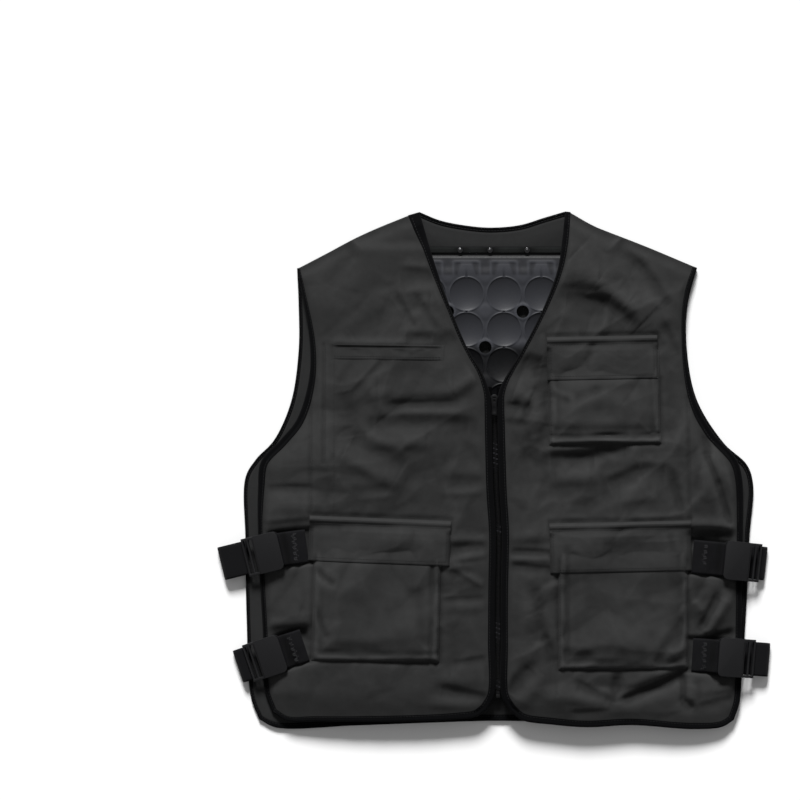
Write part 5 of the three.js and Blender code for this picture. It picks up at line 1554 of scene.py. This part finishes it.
# %% [markdown]
# ## The side straps
# A strap of 40 mm webbing leaves each lower pocket's edge and runs into a side-release buckle.
# The strap from the back turns round at its end and comes up through the ladder of the
# buckle's plug. The CAD says where each buckle sits and how it slopes with the cloth.
# %% Buckle socket
def buckle_socket():
    half, long = BUCKLE_WIDTH / 2, BUCKLE_LENGTH
    body = prism("socket", [(0, -half + 5), (0, half - 5), (1.6, half - 1.8), (5, half),
                            (long, half), (long, -half), (5, -half), (1.6, -half + 1.8)],
                 0, BUCKLE_THICKNESS)
    middle = BUCKLE_THICKNESS / 2
    mouth, reach = WEBBING_WIDTH * 0.9 / 2, WEBBING_WIDTH / 2 + 0.5
    thin, prong = WEBBING_THICKNESS / 2 + 0.6, PRONG_THICKNESS / 2
    tools = [
        block(long - PRONG_LENGTH, long + 5, -mouth, mouth,
              middle - prong - 0.3, middle + prong + 0.3),
        block(-2, SLOT_DEPTH, -reach, reach, middle - thin, middle + thin),
        block(long - 15.5, long - 6.5, -half - 3, half + 3, middle - prong, middle + prong),
    ]
    return bevelled(combine(body, tools), 0.9, 3)


# %% Buckle plug
def buckle_plug():
    half = WEBBING_WIDTH * 0.9 / 2 - 0.6
    shoulder = BUCKLE_WIDTH / 2
    prong = WEBBING_WIDTH * 0.175
    tip, root = -PRONG_LENGTH + 2, 0.3
    out = root + LADDER_LENGTH
    side = [(root, shoulder), (root, half), (tip + prong * 0.6, half), (tip, half - prong * 0.7),
            (tip + prong * 0.4, half - prong * 1.3), (root, half - prong)]
    outline = side + [(x, -y) for x, y in side[::-1]] + [(out, -shoulder), (out, shoulder)]
    plug = prism("plug", outline, 0, PRONG_THICKNESS)
    slot = (LADDER_LENGTH - 3 * LADDER_BAR) / 2
    starts = [root + LADDER_BAR + n * (slot + LADDER_BAR) for n in (0, 1)]
    reach = WEBBING_WIDTH / 2 + 0.1
    plug = combine(plug, [block(s, s + slot, -reach, reach, -2, PRONG_THICKNESS + 2)
                          for s in starts])
    return bevelled(plug, 0.8, 3)


# %% Webbing builder
WEBBING_COLUMNS = 17


def strap_places(count):
    """Places across the webbing, in metres."""
    return np.linspace(-0.5, 0.5, count) * WEBBING_WIDTH * MM


def webbing_strip(name, centres, sides, node_name, painted_shade, lift=None):
    """A strap along its centre points: sides points across it, and a second list says how far
    painted shade darkens each row.
    """
    across = strap_places(WEBBING_COLUMNS)
    edge = np.abs(across) / (WEBBING_WIDTH * MM / 2)
    thin = WEBBING_THICKNESS * MM * (1 - 0.45 * smoothstep(edge, 0.88, 1.0))
    normal = np.cross(np.gradient(centres, axis=0), sides)
    normal /= np.linalg.norm(normal, axis=1, keepdims=True)
    if normal[0, 2] < 0:
        normal = -normal
    middle = centres[:, None] + sides[:, None] * across[None, :, None]
    if lift is not None:
        middle = middle + normal[:, None] * lift[..., None]
    upper = middle + normal[:, None] * (thin / 2)[None, :, None]
    lower = middle - normal[:, None] * (thin / 2)[None, :, None]
    run = run_along(centres)
    flat = np.stack(np.broadcast_arrays(run[:, None], across), axis=-1)
    tone_and_painted_light = smoothstep(edge, 0.8, 1.0)[None] * 0.6 - painted_shade[:, None] * 2.4
    piece = sheet_piece(name, upper, lower, strap_webbing, cloth_places=flat, raised=tone_and_painted_light)
    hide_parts(node_name)
    return upper


# %% The webbing at the front
STRAP_STEPS = 56


def strap_at_front(name, side, start, heading, pose):
    """It lies on the cloth and rises into the slot; returns its direction and upper face."""
    ahead = np.array([math.cos(heading), math.sin(heading)])
    slot_point = lambda depth: np.array(pose @ Vector((depth * MM, 0, BUCKLE_THICKNESS / 2 * MM)))
    mouth, inside = slot_point(-1), slot_point(SLOT_DEPTH - 1)
    t = np.linspace(0, 1, STRAP_STEPS)
    line = start + (mouth[:2] - start) * t[:, None]
    run_dir = (mouth[:2] - start) / np.linalg.norm(mouth[:2] - start)
    blend = smoothstep(t, 0.5, 1.0)[:, None]
    facing = run_dir * (1 - blend) + ahead * blend
    facing /= np.linalg.norm(facing, axis=1, keepdims=True)
    sides = np.column_stack([-facing[:, 1], facing[:, 0], np.zeros(STRAP_STEPS)])
    spots = line[:, None] + sides[:, None, :2] * strap_places(9)[None, :, None]
    ground = evened(drop([front_trees[side]], spots).max(axis=1), 4)
    lying = ground + 1.6 * MM + 2.2 * MM * np.sin(math.pi * np.clip(t * 1.15, 0, 1)) ** 2
    z = lying + (mouth[2] - lying) * smoothstep(t, 0.55, 1.0)
    tail = mouth + (inside - mouth) * np.linspace(0.2, 1, 5)[:, None]
    centres = np.vstack([np.column_stack([line, z]), tail])
    sides = np.vstack([sides, np.tile([-ahead[1], ahead[0], 0], (5, 1))])
    # Painted shade makes it blackest where it dives into the slot, and it buckles a little on its
    # way there
    to_slot = np.linalg.norm(centres[:, :2] - mouth[:2], axis=1)
    painted_shade = np.exp(-((to_slot - 5 * MM) / (5 * MM)) ** 2)
    across = strap_places(WEBBING_COLUMNS)
    lift = 1.5 * MM * crumple(centres[:, :1] + 0 * across, centres[:, 1:2] + across, 16 * MM, 61)
    stretch = np.clip(np.arange(len(centres)) / STRAP_STEPS, 0, 1)
    lift *= (np.sin(math.pi * stretch) ** 0.5)[:, None]
    upper = webbing_strip(f"{name}_strap_at_front", centres, sides, f"{name}_front_strap", painted_shade,
                          lift)
    return run_dir, upper


# %% The webbing from the back
def strap_from_back(name, socket, heading, base, reach, turn_at):
    """It comes from under the back, turns round and rises to the ladder."""
    plug_end = BUCKLE_LENGTH + 0.3 + LADDER_LENGTH
    ladder_at = (plug_end - LADDER_BAR) * math.cos(BUCKLE_TILT) * MM
    ladder_z = (base + (BUCKLE_THICKNESS - PRONG_THICKNESS) / 2 * MM
                - plug_end * math.sin(BUCKLE_TILT) * MM)
    back_edge = turn_at - (reach - 1) * HALF_WIDTH
    thick = WEBBING_THICKNESS * MM
    upper_z = ladder_z - CLEARANCE - thick / 2
    bend = (upper_z - thick / 2) / 2
    tucked_end = back_edge - TUCKED_LENGTH * MM
    profile = [(s, thick / 2) for s in np.linspace(tucked_end, turn_at - bend, 24)]
    profile += [(turn_at - bend + bend * math.sin(a), bend + thick / 2 - bend * math.cos(a))
                for a in np.linspace(0.15, math.pi - 0.15, 12)]
    profile += [(s, upper_z + 0.7 * MM * math.sin(math.pi * k / 13))
                for k, s in enumerate(np.linspace(turn_at - bend, ladder_at, 14))]
    profile = np.array(profile)
    ahead = np.array([math.cos(heading), math.sin(heading)])
    centres = spaced(np.column_stack([socket + profile[:, :1] * ahead, profile[:, 1]]), 90)
    sides = np.tile([-ahead[1], ahead[0], 0.0], (len(centres), 1))
    webbing_strip(f"{name}_strap_from_back", centres, sides, f"{name}_back_strap",
                  np.zeros(len(centres)))


# %% All four straps
strap_stitches = StitchWork("strap_stitching")
ZIGZAG_POINTS, ZIGZAG_HALF, ZIGZAG_PLACES = 11, 2.2 * MM, (13 * MM, 15 * MM)


def zigzag_bars(start, run_dir, upper):
    """Zigzag bars of stitches hold the webbing's end at the pocket."""
    saw = np.where(np.arange(ZIGZAG_POINTS) % 2 == 0, -1.0, 1.0) * ZIGZAG_HALF
    offset = np.linspace(-0.42, 0.42, ZIGZAG_POINTS) * WEBBING_WIDTH * MM
    side_vec = np.array([-run_dir[1], run_dir[0]])
    for along in ZIGZAG_PLACES:
        xy = start + run_dir * (along + saw)[:, None] + side_vec * offset[:, None]
        row = np.argmin(np.linalg.norm(upper[:, 8, :2] - (start + run_dir * along), axis=1))
        height = upper[row, 8, 2] + 0.15 * MM
        strap_stitches.row(np.column_stack([xy, np.full(ZIGZAG_POINTS, height)]))


def make_strap(name, side, start, socket, reach, turn_y):
    start, socket = place(start), place(socket)
    turn = place(((-1 if side == "right" else 1) * reach, turn_y))
    heading = math.atan2(*(turn - socket)[::-1])
    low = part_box(f"{name}_buckle_socket")[0].z
    base = low + (BUCKLE_LENGTH - 1.2) * MM * math.sin(BUCKLE_TILT)
    pose = (Matrix.Translation((*socket, base)) @ Matrix.Rotation(heading, 4, "Z")
            @ Matrix.Rotation(BUCKLE_TILT, 4, "Y"))
    settled(f"{name}_socket", buckle_socket(), pose, buckle_plastic,
            f"{name}_buckle_socket")
    plug_lift = (BUCKLE_THICKNESS - PRONG_THICKNESS) / 2 * MM
    plug_pose = pose @ Matrix.Translation((BUCKLE_LENGTH * MM, 0, plug_lift))
    settled(f"{name}_plug", buckle_plug(), plug_pose, buckle_plastic,
            f"{name}_buckle_plug")
    run_dir, upper = strap_at_front(name, side, start, heading, pose)
    strap_from_back(name, socket, heading, base, reach, float(np.linalg.norm(turn - socket)))
    zigzag_bars(start, run_dir, upper)


for row in STRAPS:
    make_strap(*row)
    print(row[0], "strap made")
strap_stitches.finish("webbing", bar_thread)

# %% [markdown]
# ## The cooling panel
# A soft pad welded from two films: rows of round dishes, puffed diamonds between them where the
# coolant sits, and through holes that let air pass. Each dish and its surroundings is one
# square cell, meshed in rings around the dish, so the rims are true circles.
# %% Cooling panel sizes
DISH_DIAMETER, DISH_PITCH, DISH_ROW_PITCH, DISH_DEPTH = 40.6, 44.9, 42.6, 5
DISH_COLUMNS, DISH_ROWS = 6, 6
COOLING_THICKNESS, FLANGE_THICKNESS, FLANGE_WIDTH, CHANNEL_LENGTH = 7.6, 2, 9, 25
HOLE_DIAMETER = 15
COOLING_PLACE = (-0.039, 0.9287)
cooling_base = pad_low.z / MM
cooling_x, cooling_top = place(COOLING_PLACE) / MM
field_left = cooling_x - DISH_COLUMNS * DISH_PITCH / 2
field_top = cooling_top - FLANGE_WIDTH - CHANNEL_LENGTH
field_right = field_left + DISH_COLUMNS * DISH_PITCH
field_bottom = field_top - DISH_ROWS * DISH_ROW_PITCH
holes = [(field_left + column * DISH_PITCH, field_top - row * DISH_ROW_PITCH)
         for row in range(1, DISH_ROWS) for column in range(1, DISH_COLUMNS) if (row + column) % 2]
print("cooling panel:", DISH_ROWS * DISH_COLUMNS, "dishes and", len(holes), "holes")


# %% Cooling panel relief
def dish_relief(dx, dy):
    """Height of the pad around a dish's middle, in millimetres above the pad's underside."""
    r = np.hypot(dx, dy)
    radius = DISH_DIAMETER / 2
    top = COOLING_THICKNESS
    rim = top - 1.1
    bowl = top - DISH_DEPTH + (rim - top + DISH_DEPTH) * (np.minimum(r, radius) / radius) ** 2.1
    outside = r - radius
    to_corner = np.hypot(np.abs(dx) - DISH_PITCH / 2, np.abs(dy) - DISH_ROW_PITCH / 2)
    puff = rim + (top - rim) * smoothstep(12.5 - to_corner, 0, 8)
    tick = np.exp(-(dx / 1.0) ** 2) * np.exp(-((np.abs(dy) - DISH_ROW_PITCH / 2) / 2.6) ** 2)
    bead = 0.5 * np.exp(-((outside - 0.3) / 0.9) ** 2)
    return np.where(outside < 0, bowl, puff - 1.5 * tick) + bead


def top_form(x, g):
    """How far a spot above the top row stands up: a neck over each dish and a frame round it."""
    across = np.abs((x - field_left) % DISH_PITCH - DISH_PITCH / 2)
    neck = 1 - smoothstep(across, 3 + 6 * (1 - g), 6 + 7 * (1 - g))
    frame = np.exp(-((across - 15.5) / 1.7) ** 2) * (1 - smoothstep(g, 0.66, 0.74))
    bar = np.exp(-((g - 0.7) / 0.05) ** 2) * (1 - smoothstep(across, 14.5, 17))
    return np.maximum(neck * (1 - smoothstep(g, 0.58, 0.68)), np.maximum(frame, bar))


# %% The field of dishes
RING_TURNS = 92
INNER_RINGS = [0.12, 0.25, 0.4, 0.55, 0.68, 0.8, 0.89, 0.95, 0.985, 1.0, 1.025]


def dish_field():
    """Points, in millimetres, and faces of all cells, each meshed in rings round its dish."""
    corner = math.atan2(DISH_ROW_PITCH, DISH_PITCH)
    to_corners = [corner, math.pi - corner, math.pi + corner, 2 * math.pi - corner]
    even = np.arange(RING_TURNS - 4) * 2 * math.pi / (RING_TURNS - 4)
    angles = np.sort(np.concatenate([even, to_corners]))
    c, s = np.cos(angles), np.sin(angles)
    to_side = 1 / np.maximum(np.abs(c) / (DISH_PITCH / 2), np.abs(s) / (DISH_ROW_PITCH / 2))
    reach = [np.full(RING_TURNS, DISH_DIAMETER / 2 * f) for f in INNER_RINGS]
    last = reach[-1]
    reach = np.array(reach + [last + (to_side - last) * f for f in np.linspace(0.12, 1.0, 7)])
    dx, dy = reach * c, reach * s
    middle = [[0, 0, dish_relief(np.zeros(1), np.zeros(1))[0]]]
    cell = np.vstack([middle, np.stack([dx, dy, dish_relief(dx, dy)], axis=-1).reshape(-1, 3)])
    quads = grid_faces(len(reach), RING_TURNS, 1, wrap=True)[:, ::-1]
    fans = np.array([(0, 1 + k, 1 + (k + 1) % RING_TURNS) for k in range(RING_TURNS)])
    points, faces = [], []
    for row in range(DISH_ROWS):
        for column in range(DISH_COLUMNS):
            base = len(points) * len(cell)
            points.append(cell + (field_left + (column + 0.5) * DISH_PITCH,
                                  field_top - (row + 0.5) * DISH_ROW_PITCH, cooling_base))
            faces += [tuple(f) for f in quads + base] + [tuple(f) for f in fans + base]
    points = np.vstack(points)
    for x, y in holes:
        far = np.hypot(points[:, 0] - x, points[:, 1] - y)
        points[:, 2] += 0.7 * np.exp(-((far - HOLE_DIAMETER / 2 - 1.5) / 1.2) ** 2)
    return points, faces


# %% The flange and the necks above the top row
FLANGE_SLOPE, EDGE_MARGIN = 7, 0.05
# Steps outwards from the field's edge: share of the slope, share of the necks' length
FLANGE_STEPS = [(min(1, 1.6 * g), g) for g in np.linspace(0.06, 1, 16)] + [(2.3, 1.42)] * 2


def step_out(spot, f, g):
    """A point of the field's edge after one step outwards, in metres."""
    x, y, high = spot.x / MM, spot.y / MM, spot.z / MM - cooling_base
    at_top = y > field_top - EDGE_MARGIN
    if x < field_left + EDGE_MARGIN:
        x -= FLANGE_SLOPE * f
    elif x > field_right - EDGE_MARGIN:
        x += FLANGE_SLOPE * f
    if at_top:
        y += CHANNEL_LENGTH * g
    elif y < field_bottom + EDGE_MARGIN:
        y -= FLANGE_SLOPE * f
    if at_top and g <= 1:
        joined = float(smoothstep(g, 0, 0.5))
        high = high * (1 - joined) + (6.9 - 3.1 * g + 0.7 * float(top_form(x, g))) * joined
    fall = smoothstep(g, 0.9, 1.0) if at_top else smoothstep(min(f, 1), 0, 1)
    return x * MM, y * MM, (cooling_base + high + (FLANGE_THICKNESS - high) * float(fall)) * MM


def add_flange(work):
    rim = [e for e in work.edges if len(e.link_faces) == 1]
    work.verts.index_update()
    start = sorted({v for e in rim for v in e.verts}, key=lambda v: v.index)
    current = {v: v for v in start}
    for n, (f, g) in enumerate(FLANGE_STEPS):
        made = {}
        for v in start:
            x, y, z = step_out(v.co, f, g)
            # The last step goes straight down to the pad's underside
            z = z if n < len(FLANGE_STEPS) - 1 else cooling_base * MM
            made[v] = work.verts.new((x, y, z))
        for e in rim:
            a, b = e.verts
            work.faces.new([current[a], current[b], made[b], made[a]])
        current = made


# %% The whole panel
def pad_tone_and_painted_light(mesh):
    """How pale each point of the film is, with painted shade and painted highlights."""
    spots = np.array([v.co for v in mesh.vertices]) / MM
    tone_and_painted_light = smoothstep(spots[:, 2] - cooling_base, COOLING_THICKNESS - 2.2, COOLING_THICKNESS + 0.5)
    # Below its second row the film is painted darker, as painted shade
    down = field_top - spots[:, 1]
    deep = smoothstep(down, 1.85 * DISH_ROW_PITCH, 2.1 * DISH_ROW_PITCH)
    tone_and_painted_light = tone_and_painted_light * (1 - 0.75 * deep) - 2.35 * deep
    # Above the top row the necks are painted lighter, as painted highlights, and the strip round
    # them darker
    above = np.clip(-down / CHANNEL_LENGTH, 0, 1)
    welded = smoothstep(above, 0, 0.12)
    painted_neck_light = 1.7 * top_form(spots[:, 0], above) - 1.1 - 1.3 * smoothstep(above, 0.8, 0.92)
    tone_and_painted_light = tone_and_painted_light * (1 - welded) + welded * painted_neck_light
    for x, y in holes:
        far = np.hypot(spots[:, 0] - x, spots[:, 1] - y)
        tone_and_painted_light += 1.2 * np.exp(-((far - HOLE_DIAMETER / 2 - 1.0) / 1.5) ** 2)
    return tone_and_painted_light


def make_cooling_panel():
    points, faces = dish_field()
    mesh = bpy.data.meshes.new("pad")
    mesh.from_pydata((points * MM).tolist(), [], faces)
    pad = bpy.data.objects.new("pad", mesh)
    scene.collection.objects.link(pad)
    work = bmesh.new()
    work.from_mesh(mesh)
    bmesh.ops.remove_doubles(work, verts=work.verts, dist=0.02 * MM)
    add_flange(work)
    open_edges = [e for e in work.edges if len(e.link_faces) == 1]
    bmesh.ops.holes_fill(work, edges=open_edges, sides=0)
    bmesh.ops.recalc_face_normals(work, faces=work.faces)
    work.to_mesh(mesh)
    work.free()
    turn, radius = np.linspace(0, 2 * math.pi, 36, endpoint=False), HOLE_DIAMETER / 2
    rings = [[(x + radius * math.cos(a), y + radius * math.sin(a)) for a in turn] for x, y in holes]
    pad = combine(pad, [prism("hole", ring, -10, 40) for ring in rings])
    set_raised(pad.data, pad_tone_and_painted_light(pad.data))
    piece = settled("cooling_pad", pad, Matrix(), cooling_film, "cooling_panel")
    return piece


cooling_pad = make_cooling_panel()
print("cooling panel", len(cooling_pad.data.polygons), "faces")

# %% Hanger strip and press studs
strip_low, strip_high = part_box("hanger_strip")


def make_hanger():
    fray = 0.4 * MM
    x, y = np.meshgrid(np.linspace(strip_low.x, strip_high.x, 120),
                       np.linspace(strip_low.y - fray, strip_high.y + fray, 9))
    edge = np.minimum(y - strip_low.y, strip_high.y - y) + fray
    z = strip_high.z - 0.5 * MM * np.exp(-edge / (0.6 * MM))
    z += 0.15 * MM * crumple(x, y, 14 * MM, 51)
    upper, lower = np.dstack([x, y, z]), np.dstack([x, y, np.full_like(x, strip_low.z)])
    shade = np.zeros_like(x)
    for k in (1, 2, 3):
        low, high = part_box(f"press_stud_{k}")
        shade -= 2.6 * np.exp(-((x - (low.x + high.x) / 2) / (9 * MM)) ** 2)
    piece = sheet_piece("hanger_tape", upper, lower, hanger_ribbon, raised=shade)
    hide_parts("hanger_strip")


make_hanger()

# The stud's cap from its rim inwards: radius and height in shares of the CAD stud
STUD_PROFILE = [
    (1.0, 0.0), (1.0, 0.35), (0.93, 0.6), (0.8, 0.72), (0.66, 0.62), (0.56, 0.66), (0.5, 0.9),
    (0.36, 1.0), (0.16, 0.96), (0.0, 0.95),
]
STUD_TURNS = 40
for k in (1, 2, 3):
    low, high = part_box(f"press_stud_{k}")
    centre, radius, tall = (low + high) / 2, (high.x - low.x) / 2, high.z - low.z
    angles = np.arange(STUD_TURNS) * 2 * math.pi / STUD_TURNS
    points = [(centre.x + radius * r * math.cos(a), centre.y + radius * r * math.sin(a),
               low.z + tall * h) for r, h in STUD_PROFILE[:-1] for a in angles]
    last = len(points) - STUD_TURNS
    faces = [tuple(f) for f in grid_faces(len(STUD_PROFILE) - 1, STUD_TURNS, wrap=True)]
    faces += [(last + n, last + (n + 1) % STUD_TURNS, len(points)) for n in range(STUD_TURNS)]
    faces.append(tuple(range(STUD_TURNS))[::-1])
    points.append((centre.x, centre.y, low.z + tall * STUD_PROFILE[-1][1]))
    stud = make_piece(f"stud_{k}", points, faces, stud_metal, raised=np.zeros(len(points)))
    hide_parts(f"press_stud_{k}")
print("studs made")

# %% [markdown]
# ## Joining the stitches
# All stitches of the fronts are joined.
# %% Finish
for side, (piece, stitches) in fronts.items():
    stitches.finish()
